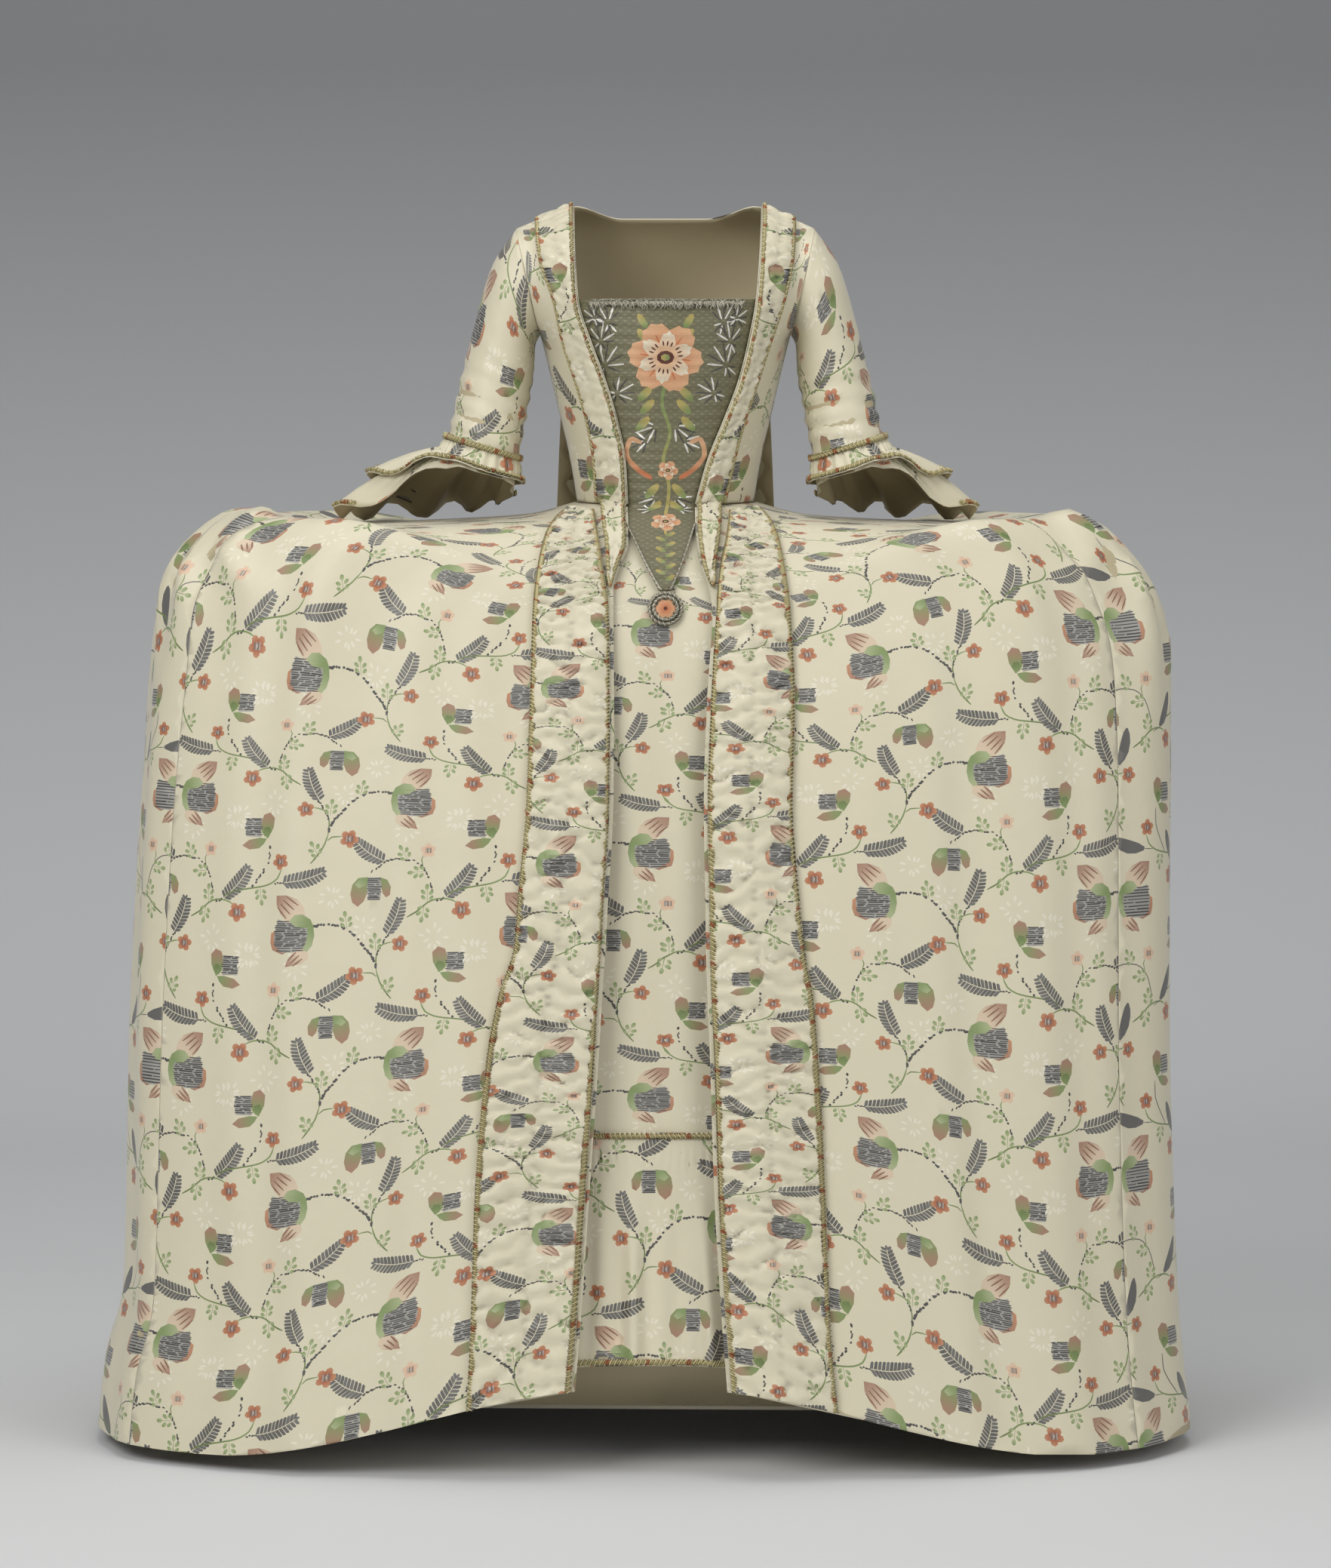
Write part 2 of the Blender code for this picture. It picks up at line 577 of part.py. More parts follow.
def bodice_front_row(share, side, columns):
    """Points of one row of the bodice front, from its front edge to the side seam or armhole."""
    height = WAIST_HEIGHT + SEAM_GAP + (SHOULDER_HEIGHT - WAIST_HEIGHT - SEAM_GAP) * share
    inner = table_value(BODICE_EDGES[side], "height", "inner", height)
    outer = table_value(BODICE_EDGES[side], "height", "outer", height)
    slope = (outer - inner) * SHOULDER_SLOPE * smoothstep(0.8, 1, share)
    end = bodice_side_point(share, side, False)
    fix = end.y - torso_y(end.x, end.z, False)
    row = []
    for column in columns:
        if column <= 1:
            x = side * (inner + (outer - inner) * column)
            z = height - slope * column
            toward = 0.0
        else:
            toward = column - 1
            x = side * outer + (end.x - side * outer) * toward
            z = height - slope + (end.z - height + slope) * toward
        row.append(Vector((x, torso_y(x, z, False) + fix * toward**2 - SEAM_GAP, z)))
    return row


def bodice_back_row(share, columns):
    """Points of one row of the fitted back, from the wearer's right armhole to the left one."""
    row = []
    for column in columns:
        side = LEFT if column >= 0 else RIGHT
        end = bodice_side_point(share, side, True)
        u = abs(column)
        centre = WAIST_HEIGHT + SEAM_GAP + (BACK_NECK_HEIGHT - WAIST_HEIGHT - SEAM_GAP) * share
        z = centre + (end.z - centre) * u**2
        shoulder = sleeve_spot(0, 0, side).point.z
        if u < 0.62:
            top = BACK_NECK_HEIGHT + (SHOULDER_HEIGHT - BACK_NECK_HEIGHT) * smoothstep(0.3, 0.62, u)
        else:
            top = SHOULDER_HEIGHT + (shoulder - SHOULDER_HEIGHT) * (u - 0.62) / 0.38
        z += share**4 * (top - BACK_NECK_HEIGHT - (shoulder - BACK_NECK_HEIGHT) * u**2)
        x = end.x * u
        fix = end.y - torso_y(end.x, end.z, True)
        row.append(Vector((x, torso_y(x, z, True) + fix * u**4 + SEAM_GAP, z)))
    return row


def bodice_spots(points, back):
    """Spots for a bodice panel. Front and back share their normals at the side and shoulder seams."""
    grid = with_normals(points, lambda p: Vector((p.x * 0.3, 0.1 if back else -0.1, 0)))
    for r, share in enumerate(BODICE_SHARES):
        for c, spot in enumerate(grid[r]):
            at_side = c == len(grid[r]) - 1 or (back and c == 0)
            side = LEFT if spot.point.x > 0 else RIGHT
            if share == 1 and abs(spot.point.x) > STRAP_INNER - 0.01:
                grid[r][c] = Spot(spot.point, Vector((side * SHOULDER_SLOPE, 0, 1)).normalized())
            elif at_side and share <= ARMPIT_SHARE:
                grid[r][c] = Spot(spot.point, Vector((side, 0, 0)))
    return grid


# The gown's skirt

def front_columns(place, side):
    """Angles of the gown front's columns: its edge, the robing's inner edge, middle and outer edge, then to the seam."""
    height = ring_value("front_height", place)
    edge = SKIRT_EDGES[side]
    inner = table_value(edge, "height", "robing_inner", height)
    outer = table_value(edge, "height", "robing_outer", height)
    marks = [table_value(edge, "height", "edge", height), inner, (inner + outer) / 2, outer]
    angles = [angle_at(place, side, x) for x in marks]
    seam = side * (seam_angle(place, side) - SEAM_TURN)
    return angles[:3] + [angles[3] + (seam - angles[3]) * share for share in FRONT_SHARES]


def robe_front_grid(side):
    return [[skirt_spot(place, a) for a in front_columns(place, side)] for place in SKIRT_PLACES]


def side_back_angle(place):
    """Where the side panel ends, a little way under the sack back."""
    height = ring_value("back_height", place)
    x = min(table_value(SACK, "height", "half", height) - UNDER_SACK, ring_value("left_half", place) * 0.8)
    return 180 - angle_at(place, LEFT, x)


def robe_side_grid(side):
    grid = []
    for place in SKIRT_PLACES:
        first, last = seam_angle(place, side) + SEAM_TURN, side_back_angle(place)
        grid.append([skirt_spot(place, side * (first + (last - first) * share)) for share in SIDE_SHARES])
    return grid


def build_robe_skirt():
    for side, word in ((LEFT, "left"), (RIGHT, "right")):
        panel(f"robe_front_{word}", robe_front_grid(side), "brocade")
        panel(f"robe_side_{word}", robe_side_grid(side), "brocade")


# The sack back

def pleat_relief(share):
    """How many layers of pleat stand at that share of the sack's half width."""
    return sum(
        smoothstep(rise, top, share) * (1 - smoothstep(end, foot, share)) for rise, top, end, foot in PLEAT_STEPS
    )


def sack_point(height, share):
    value = {c: table_value(SACK, "height", c, height) for c in SackRow._fields[1:]}
    u = abs(share)
    x = value["half"] * share
    y = value["depth_behind"] - value["bow"] * u**2 + value["pleat"] * pleat_relief(u)
    low = 1 - smoothstep(0.84, 0.90, height)
    if low > 0:
        half = ring_value("left_half", bisect_place("back_height", height))
        power = ring_value("power", 8)
        reach = (1 - (abs(x) / half) ** power) ** (1 / power)
        y -= low * value["depth_behind"] * (1 - reach)
    return Vector((x, y, height))


def build_sack_back():
    shares = [-u for u in reversed(SACK_SHARES[1:])] + SACK_SHARES
    points = [[sack_point(height, share) for share in shares] for height in SACK_HEIGHTS]
    panel("sack_back", with_normals(points, lambda p: Vector((0, 1, 0))), "brocade")


# The petticoat and its flounce

def petticoat_lift(place):
    return PETTICOAT_LIFT + (PETTICOAT_HEM_LIFT - PETTICOAT_LIFT) * smoothstep(5.5, 11, place)


def petticoat_grid(angles, extra=0.0):
    return [[skirt_spot(p, a, petticoat_lift(p) + extra, False) for a in angles] for p in PETTICOAT_PLACES]


def build_petticoat():
    panel("petticoat_front", petticoat_grid(PETTICOAT_FRONT_ANGLES), "brocade")
    back = petticoat_grid(PETTICOAT_BACK_ANGLES, PETTICOAT_BACK_LIFT)
    back[0][2:-2] = [skirt_spot(0, a, PETTICOAT_WAIST_LIFT, False) for a in PETTICOAT_BACK_ANGLES[2:-2]]
    panel("petticoat_back", back, "brocade")


def petticoat_flounce_relief(x, drop):
    """The flounce's pleats: flat under the braid and deeper to the hem, two of them much deeper than the rest."""
    soft = 0.5 + 0.5 * math.cos(2 * math.pi * x / 0.030 + 0.9)
    deep = math.exp(-(((x - 0.036 - 0.010 * drop) / 0.009) ** 2))
    deep += 0.7 * math.exp(-(((x + 0.034) / 0.010) ** 2))
    return (0.004 * soft + 0.011 * deep) * smoothstep(0.0, 0.6, drop)


def on_petticoat(grid, x, height, lift):
    """A spot over the petticoat's own facets, found by its place across and its height."""
    place = bisect_place("front_height", height)
    k = max(i for i, p in enumerate(PETTICOAT_PLACES[:-1]) if p <= place)
    row = k + (place - PETTICOAT_PLACES[k]) / (PETTICOAT_PLACES[k + 1] - PETTICOAT_PLACES[k])
    low, high = 0.0, len(PETTICOAT_FRONT_ANGLES) - 1.0
    for _ in range(24):
        middle = (low + high) / 2
        if on_grid(grid, row, middle).point.x < x:
            low = middle
        else:
            high = middle
    spot = on_grid(grid, row, (low + high) / 2)
    return Spot(spot.point + spot.normal * lift, spot.normal)


def build_petticoat_flounce():
    petticoat = petticoat_grid(PETTICOAT_FRONT_ANGLES)
    grid = []
    start, end = PETTICOAT_FLOUNCE_SPAN
    for r, height in enumerate(FLOUNCE_HEIGHTS):
        drop = max(0.0, (FLOUNCE_STITCH - height) / (FLOUNCE_STITCH - FLOUNCE_HEIGHTS[-1]))
        row = []
        for i in range(PETTICOAT_FLOUNCE_COLUMNS + 1):
            x = start + (end - start) * i / PETTICOAT_FLOUNCE_COLUMNS
            gather = 0.0012 * (i % 2) if r in (1, 2) else 0.0
            lift = FLOUNCE_CLOTH + 0.0008 + gather + petticoat_flounce_relief(x, drop)
            row.append(on_petticoat(petticoat, x, height, lift))
        grid.append(row)
    panel("petticoat_flounce", grid, "brocade", FLOUNCE_CLOTH)
    braid("flounce_braid_top", grid[0][::2], grid[1][::2], lift=0.0008)
    braid("flounce_braid_low", grid[-1], grid[-2], lift=0.0006)


# The bodice, its stomacher and the tab at its point

def build_bodice():
    columns = [0, 0.5, 1, 1.35, 1.7, 2.0]
    for side, word in ((LEFT, "left"), (RIGHT, "right")):
        points = [bodice_front_row(share, side, columns) for share in BODICE_SHARES]
        panel(f"bodice_front_{word}", bodice_spots(points, False), "brocade")
    columns = [-1, -0.85, -0.62, -0.4, -0.2, 0, 0.2, 0.4, 0.62, 0.85, 1]
    points = [bodice_back_row(share, columns) for share in BODICE_SHARES]
    panel("bodice_back", bodice_spots(points, True), "brocade")


def stomacher_base(x, height):
    if height >= WAIST_HEIGHT - 0.002:
        return Vector((x, torso_y(x, height, False), height))
    place = bisect_place("front_height", height)
    return skirt_surface(place, angle_at(place, LEFT if x >= 0 else RIGHT, abs(x)))


def build_stomacher():
    points = []
    for height in STOMACHER_HEIGHTS:
        right = table_value(STOMACHER, "height", "right_half", height)
        left = table_value(STOMACHER, "height", "left_half", height)
        points.append([stomacher_base(-right + (right + left) * i / 8, height) for i in range(9)])
    base = with_normals(points, lambda p: Vector((0, -1, 0)))
    face = [[Spot(s.point + s.normal * STOMACHER_LIFT, s.normal) for s in row] for row in base]
    panel("stomacher", face, "stomacher_cloth", STOMACHER_CLOTH)
    top, below = list(face[0]), list(face[1])
    for i, j, x in ((0, 1, LACE_SPAN[0]), (-1, -2, LACE_SPAN[1])):
        share = (x - top[i].point.x) / (top[j].point.x - top[i].point.x)
        top[i], below[i] = between(top[i], top[j], share), between(below[i], below[j], share)
    braid("stomacher_lace", top, below, "silver_lace", width=0.0075)
    for word, column, beside in (("right", 0, 1), ("left", 8, 7)):
        edge = [row[column] for row in face[5:]]
        inward = [row[beside] for row in face[5:]]
        edge[-1], inward[-1] = between(edge[-1], edge[-2], 0.35), between(inward[-1], inward[-2], 0.35)
        braid(f"stomacher_braid_{word}", edge, inward, "silver_lace", width=0.0046, lift=0.0009)
    build_tab()


def between(spot, other, share):
    return Spot(spot.point.lerp(other.point, share), spot.normal.lerp(other.normal, share).normalized())


def build_tab():
    """The round end that hangs at the stomacher's point, a shallow dome in a ring of lace."""
    around = 14
    above, below = stomacher_base(0.0, TAB_HEIGHT + 0.02), stomacher_base(0.0, TAB_HEIGHT - 0.02)
    up = (above - below).normalized()
    out = Vector((1, 0, 0)).cross(up).normalized()
    centre = stomacher_base(0.0, TAB_HEIGHT) + out * TAB_LIFT

    def rim(radius, lift):
        return [
            centre
            + Vector((1, 0, 0)) * (radius * math.cos(2 * math.pi * i / around))
            + up * (radius * math.sin(2 * math.pi * i / around))
            + out * lift
            for i in range(around)
        ]

    points = rim(TAB_RADIUS, -0.0018) + rim(TAB_RADIUS, 0.0004) + rim(TAB_RADIUS - 0.0062, 0.0004)
    points += rim(0.006, 0.0026)
    faces = [tuple(reversed(range(around)))]
    for level in range(3):
        for i in range(around):
            a, b = level * around + i, level * around + (i + 1) % around
            faces.append((a, b, b + around, a + around))
    faces.append(tuple(range(3 * around, 4 * around)))
    add_mesh("stomacher_tab", points, faces, "stomacher_cloth")
    ring = [Spot(p, out) for p in rim(TAB_RADIUS, 0.0004)]
    middle = [Spot(p, out) for p in rim(0.001, 0.0004)]
    braid("stomacher_tab_lace", ring, middle, "silver_lace", width=0.0052, closed=True)


# Ruched robings and their braids

def ruched_strip(name, base, rows, lowest, outer_braid_end=None):
    """A robing on rows of five base spots: flat edges under the braids, crests and hollows taking turns between."""

    def lift(r, c):
        crest = GATHER_SHARE * (base[r][4].point - base[r][0].point).length
        if c in (0, 4) or not rows[r].crest:
            return lowest
        return lowest + crest * (0.45 if c == 2 else 1.0)

    cloth_wall(name, raised(base, lift), raised(base, lowest - CLOTH), "brocade", inner_columns=[0, 2, 4])
    over_crests = lowest + 1.6 * BRAID_GAP + (BRAID_EDGE + BRAID_WIDTH) * GATHER_SHARE * 4
    for word, column, beside, last in (("inner", 0, 1, None), ("outer", 4, 3, outer_braid_end)):
        bends = [r for r, row in enumerate(rows) if row.bend and (last is None or r <= last)]
        rim = [base[r][column] for r in bends]
        braid(f"{name}_braid_{word}", rim, [base[r][beside] for r in bends], lift=over_crests)


def gathered_rows(grid, column, first, last, gathers):
    """Rows down a grid, crest and hollow in turn, with each of the grid's own rows among them."""
    stops = [first] + [r for r in range(len(grid)) if first < r < last] + [last]
    lengths = [
        (on_grid(grid, b, column).point - on_grid(grid, a, column).point).length for a, b in zip(stops, stops[1:])
    ]
    pitch = sum(lengths) / (2 * gathers)
    rows = [GatherRow(first, False, True)]
    for a, b, length in zip(stops, stops[1:], lengths):
        count = max(1, round(length / pitch))
        for i in range(1, count + 1):
            rows.append(GatherRow(a + (b - a) * i / count, len(rows) % 2 == 1, i == count))
    rows[-1] = GatherRow(last, False, True)
    return rows


def strip_base(grid, rows, columns):
    return [[on_grid(grid, row.row, c) for c in columns] for row in rows]


def build_skirt_robings():
    for side, word in ((LEFT, "left"), (RIGHT, "right")):
        grid = robe_front_grid(side)
        rows = gathered_rows(grid, 2, 0.6, len(SKIRT_PLACES) - 1.0, SKIRT_ROBING_GATHERS)
        ruched_strip(f"skirt_robing_{word}", strip_base(grid, rows, (1, 1.5, 2, 2.5, 3)), rows, SKIRT_ROBING_LIFT)


def build_bodice_robings():
    start, end = TAIL_COLUMNS
    tail_columns = [start + (end - start) * c / 4 for c in range(5)]
    for side, word in ((LEFT, "left"), (RIGHT, "right")):
        points = [bodice_front_row(share, side, [0, 0.5, 1, 1.35, 1.7, 2.0]) for share in BODICE_SHARES]
        bodice = bodice_spots(points, False)
        rows = gathered_rows(bodice, 1, 0.0, len(BODICE_SHARES) - 1.0, BODICE_ROBING_GATHERS)
        base = strip_base(bodice, rows, (0, 0.5, 1, 1.5, 2))
        tail = [GatherRow(row, i % 2 == 0 and row < 5, True) for i, row in enumerate(TAIL_ROWS)]
        base += strip_base(robe_front_grid(side), tail, tail_columns)
        ruched_strip(f"bodice_robing_{word}", base, rows + tail, ROBING_LIFT, outer_braid_end=len(base) - 4)


# Sleeves and their flounces

def build_sleeves():
    for side, word in ((LEFT, "left"), (RIGHT, "right")):
        angles = [360 * i / SLEEVE_AROUND for i in range(SLEEVE_AROUND)]
        grid = [[sleeve_spot(place, a, side) for a in angles] for place in SLEEVE_PLACES]
        middle = SLEEVE_AROUND // 2
        down = (grid[1][0].point + grid[1][middle].point - grid[0][0].point - grid[0][middle].point).normalized()
        grid[0] = [Spot(s.point + down * ARMHOLE_GAP, s.normal) for s in grid[0]]
        panel(f"sleeve_{word}", grid, "brocade", closed=True)


def flounce_base(angle, share, side):
    """The flounce's smooth surface: a negative share is a distance up the sleeve, a positive one runs to the edge."""
    turn = angle % 360
    edge = Vector([table_value(FLOUNCE_EDGE, "angle", c, turn) for c in ("x", "y", "height")])
    edge.x = FLOUNCE_CENTRE.x + (edge.x - FLOUNCE_CENTRE.x) * (FLOUNCE_REACH[side] if edge.x > 0.24 else 1.0)
    edge.x *= side
    top = sleeve_spot(5, angle, side).point
    if share < 0:
        up = (sleeve_spot(4, angle, side).point - top).normalized()
        return top - up * share
    length = (edge - top).length
    return top.lerp(edge, share) + Vector((0, 0, 0.22 * share * (1 - share) * length))


def long_side(angle):
    """One where the flounce is longest, behind the elbow, and nothing in front."""
    return 0.5 + 0.5 * math.cos(math.radians(angle - 60))


def flounce_point(angle, share, side, lift):
    """A point of a flounce: the lift goes away from the arm at the cuff, and more upward where the flounce flares."""
    away = sleeve_spot(5, angle, side).normal
    rise = 0.75 * smoothstep(-0.015, 0.012, share) * long_side(angle)
    wave = (0.0010 + 0.0065 * long_side(angle)) * max(0.0, share) * math.cos(FLOUNCE_WAVES * math.radians(angle))
    return flounce_base(angle, share, side) + away.lerp(Vector((0, 0, 1)), rise).normalized() * (lift + wave)


def build_sleeve_flounces():
    count = 2 * FLOUNCE_WAVES
    angles = [360 * i / count for i in range(count)]
    for side, word in ((LEFT, "left"), (RIGHT, "right")):
        middle = Vector((side * FLOUNCE_CENTRE.x, FLOUNCE_CENTRE.y, 0))

        def outward(point):
            return (point - middle).to_2d().normalized().to_3d() + Vector((0, 0, 0.6))

        for layer, shares in (("lower", LOWER_FLOUNCE), ("upper", UPPER_FLOUNCE)):
            points = []
            for share in shares:
                lift = 0.0022
                if layer == "upper":
                    lift += 0.0038 * smoothstep(-0.015, -0.004, share) + 0.008 * max(0.0, share)
                points.append([flounce_point(a, share, side, lift) for a in angles])
            grid = with_normals(points, outward, closed=True)
            panel(f"flounce_{layer}_{word}", grid, "brocade", FLOUNCE_CLOTH, True)
            if layer == "lower":
                first, last = (round(a / 360 * count) for a in LONG_FLOUNCE)
                rim, beside = ([grid[k][i % count] for i in range(first, last + 1)] for k in (-1, -2))
                braid(f"flounce_lower_braid_{word}", rim, beside, lift=0.0007)
            else:
                braid(f"flounce_upper_braid_{word}", grid[-1], grid[-2], closed=True, lift=0.0010)
                braid(f"cuff_braid_{word}", grid[0], grid[1], closed=True, lift=0.0005)


clear_scene()
build_robe_skirt()
build_sack_back()
build_petticoat()
build_petticoat_flounce()
build_bodice()
build_stomacher()
build_skirt_robings()
build_bodice_robings()
build_sleeves()
build_sleeve_flounces()
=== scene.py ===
# The looks of a robe a la francaise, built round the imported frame: silk woven with flowers, ruched
# robings, looped braid, lace and an embroidered stomacher. Metres. The wearer faces -Y and +X is the
# wearer's left. Heights in the tables are above the floor, and the origin lies between the shoulders.
import math
import random
from functools import cache

import bpy
import numpy as np
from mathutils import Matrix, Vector
from mathutils.geometry import delaunay_2d_cdt


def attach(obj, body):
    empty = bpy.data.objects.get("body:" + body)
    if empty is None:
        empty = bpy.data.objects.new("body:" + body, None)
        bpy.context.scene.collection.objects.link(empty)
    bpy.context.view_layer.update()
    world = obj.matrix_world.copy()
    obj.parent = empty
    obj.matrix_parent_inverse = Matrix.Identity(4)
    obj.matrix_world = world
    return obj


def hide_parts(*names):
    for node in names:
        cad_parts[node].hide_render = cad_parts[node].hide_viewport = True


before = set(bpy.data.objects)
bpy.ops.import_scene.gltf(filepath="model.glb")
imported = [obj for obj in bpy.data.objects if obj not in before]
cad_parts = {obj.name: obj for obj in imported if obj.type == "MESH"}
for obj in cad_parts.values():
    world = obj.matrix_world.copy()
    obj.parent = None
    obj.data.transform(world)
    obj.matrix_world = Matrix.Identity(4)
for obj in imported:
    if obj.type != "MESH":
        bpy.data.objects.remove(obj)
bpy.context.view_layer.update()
chance = random.Random(7)
shoulderHeight = 1.313
waistHeight = 1.0
sideWords = {1: "left", -1: "right"}


# The same smooth curves and surfaces as the CAD part, worked out for whole lists of points at once

def smooth(low, high, value):
    share = np.clip((value - low) / (high - low), 0, 1)
    return share * share * (3 - 2 * share)


def curveThrough(keys, values):
    keys, values = np.array(keys, float), np.array(values, float)
    if keys[0] > keys[-1]:
        keys, values = keys[::-1], values[::-1]
    slopes = np.diff(values) / np.diff(keys)
    product, total = slopes[:-1] * slopes[1:], slopes[:-1] + slopes[1:]
    inner = np.where(product > 0, 2 * product / np.where(product > 0, total, 1), 0)
    tangents = np.concatenate([slopes[:1], inner, slopes[-1:]])

    def at(x):
        x = np.clip(x, keys[0], keys[-1])
        i = np.clip(np.searchsorted(keys, x, side="right") - 1, 0, len(keys) - 2)
        span = keys[i + 1] - keys[i]
        t = (x - keys[i]) / span
        return (
            (2 * t**3 - 3 * t**2 + 1) * values[i]
            + (t**3 - 2 * t**2 + t) * span * tangents[i]
            + (3 * t**2 - 2 * t**3) * values[i + 1]
            + (t**3 - t**2) * span * tangents[i + 1]
        )

    return at


def curvesOf(names, rows):
    columns = list(zip(*rows))
    return {name: curveThrough(columns[0], column) for name, column in zip(names.split(), columns)}


ring = curvesOf(
    "place rightHeight leftHeight frontHeight backHeight rightHalf leftHalf front back power rightSpread leftSpread",
    [
        (0, 1.000, 1.000, 0.998, 0.998, 0.0940, 0.0940, 0.112, 0.086, 2.0, 0.25, 0.25),
        (1, 0.986, 0.986, 0.980, 0.984, 0.1500, 0.1500, 0.122, 0.108, 2.1, 0.25, 0.25),
        (2, 0.979, 0.979, 0.960, 0.970, 0.2600, 0.2550, 0.134, 0.136, 2.3, 0.25, 0.25),
        (3, 0.975, 0.976, 0.938, 0.954, 0.3680, 0.3550, 0.146, 0.162, 2.5, 0.25, 0.25),
        (4, 0.986, 0.985, 0.915, 0.932, 0.4380, 0.4220, 0.157, 0.184, 2.7, 0.25, 0.25),
        (5, 0.951, 0.946, 0.890, 0.902, 0.5000, 0.4790, 0.167, 0.200, 2.8, 0.25, 0.25),
        (6, 0.905, 0.905, 0.855, 0.862, 0.5290, 0.5100, 0.178, 0.214, 2.8, 0.25, 0.25),
        (7, 0.820, 0.835, 0.800, 0.800, 0.5440, 0.5320, 0.192, 0.226, 2.8, 0.25, 0.25),
        (8, 0.690, 0.690, 0.690, 0.690, 0.5580, 0.5385, 0.212, 0.246, 2.8, 0.25, 0.25),
        (9, 0.450, 0.450, 0.470, 0.450, 0.5720, 0.5385, 0.238, 0.276, 2.8, 0.22, 0.22),
        (10, 0.170, 0.170, 0.250, 0.170, 0.5800, 0.5460, 0.264, 0.312, 2.8, 0.18, 0.14),
        (11, 0.085, 0.082, 0.165, 0.080, 0.6000, 0.5530, 0.276, 0.328, 2.8, 0.12, 0.06),
        (12, 0.016, 0.016, 0.096, 0.012, 0.6080, 0.5610, 0.286, 0.340, 2.8, 0.08, 0.02),
    ],
)
skirt = {
    "spreadTo": 0.80,
    "sideSeam": {1: 57.0, -1: 63.0},  # angles from the front, in degrees
    "waistSeam": 78.0,
    "seamTurn": 0.08,
    "underSack": 0.016,
    # side, angle at the top, angle below, first ring, last ring, width in degrees, height
    "folds": [
        (1, 78, 60, 3.6, 6.2, 5.0, 0.009),
        (1, 76, 71, 3.9, 7.8, 4.2, 0.015),
        (1, 88, 82, 3.9, 8.2, 4.2, 0.014),
        (1, 99, 96, 3.9, 8.6, 4.6, 0.012),
        (1, 43, 40, 4.0, 7.6, 6.5, 0.006),
        (-1, 82, 50, 3.3, 7.0, 5.2, 0.010),
        (-1, 84, 66, 3.6, 7.4, 4.6, 0.012),
        (-1, 92, 80, 3.6, 8.2, 4.6, 0.013),
        (-1, 102, 95, 3.8, 8.6, 4.6, 0.012),
        (-1, 40, 34, 4.2, 7.6, 6.5, 0.005),
    ],
    # soft waves down the cloth: length across, height, start of the wave
    "waves": [(0.093, 0.0016, 0.4), (0.061, 0.0009, 2.1), (0.157, 0.0026, 4.0)],
}
skirtEdges = {
    side: curvesOf("height edge inner outer", rows)
    for side, rows in {
        -1: [
            (1.000, 0.040, 0.0735, 0.0875),
            (0.980, 0.039, 0.0730, 0.109),
            (0.960, 0.039, 0.0690, 0.125),
            (0.938, 0.047, 0.0655, 0.132),
            (0.915, 0.054, 0.0615, 0.136),
            (0.890, 0.0540, 0.0585, 0.138),
            (0.800, 0.0532, 0.0575, 0.1405),
            (0.690, 0.054, 0.058, 0.144),
            (0.600, 0.059, 0.063, 0.1525),
            (0.545, 0.062, 0.066, 0.157),
            (0.500, 0.065, 0.069, 0.172),
            (0.430, 0.069, 0.073, 0.185),
            (0.300, 0.078, 0.082, 0.196),
            (0.180, 0.086, 0.090, 0.200),
            (0.080, 0.0945, 0.0985, 0.205),
        ],
        1: [
            (1.000, 0.031, 0.0640, 0.0830),
            (0.980, 0.031, 0.0650, 0.104),
            (0.960, 0.033, 0.0620, 0.117),
            (0.938, 0.037, 0.0570, 0.123),
            (0.915, 0.045, 0.0540, 0.127),
            (0.890, 0.0485, 0.0525, 0.130),
            (0.800, 0.043, 0.047, 0.134),
            (0.690, 0.0395, 0.0435, 0.1315),
            (0.600, 0.041, 0.045, 0.138),
            (0.530, 0.042, 0.046, 0.146),
            (0.500, 0.043, 0.047, 0.152),
            (0.430, 0.046, 0.050, 0.158),
            (0.300, 0.050, 0.054, 0.165),
            (0.180, 0.057, 0.061, 0.170),
            (0.080, 0.065, 0.069, 0.180),
        ],
    }.items()
}


def skirtSurface(place, angle):
    a = np.radians(np.abs(angle))
    left, inFront = np.greater_equal(angle, 0), np.abs(angle) < 90
    half = np.where(left, ring["leftHalf"](place), ring["rightHalf"](place))
    power = 2 / ring["power"](place)
    x = half * np.clip(np.sin(a), 0, 1) ** power
    spread = np.where(left, ring["leftSpread"](place), ring["rightSpread"](place))
    share = smooth(spread, skirt["spreadTo"], x / half)
    y = np.where(inFront, -ring["front"](place), ring["back"](place)) * np.abs(np.cos(a)) ** power
    middle = np.where(inFront, ring["frontHeight"](place), ring["backHeight"](place))
    sideHeight = np.where(left, ring["leftHeight"](place), ring["rightHeight"](place))
    height = middle + (sideHeight - middle) * share
    return np.stack([np.where(left, x, -x), y, height - shoulderHeight], -1)


def foldHeight(place, angle):
    total = 0.0
    for side, top, low, start, end, width, height in skirt["folds"]:
        share = np.clip((place - start) / (end - start), 0, 1)
        centre = top + (low - top) * np.minimum(1.0, share * 1.4)
        fade = smooth(0, 0.2, share) * (1 - smooth(0.5, 1, share))
        ridge = height * fade * np.exp(-(((np.abs(angle) - centre) / width) ** 2))
        total = total + np.where(angle * side > 0, ridge, 0)
    return total


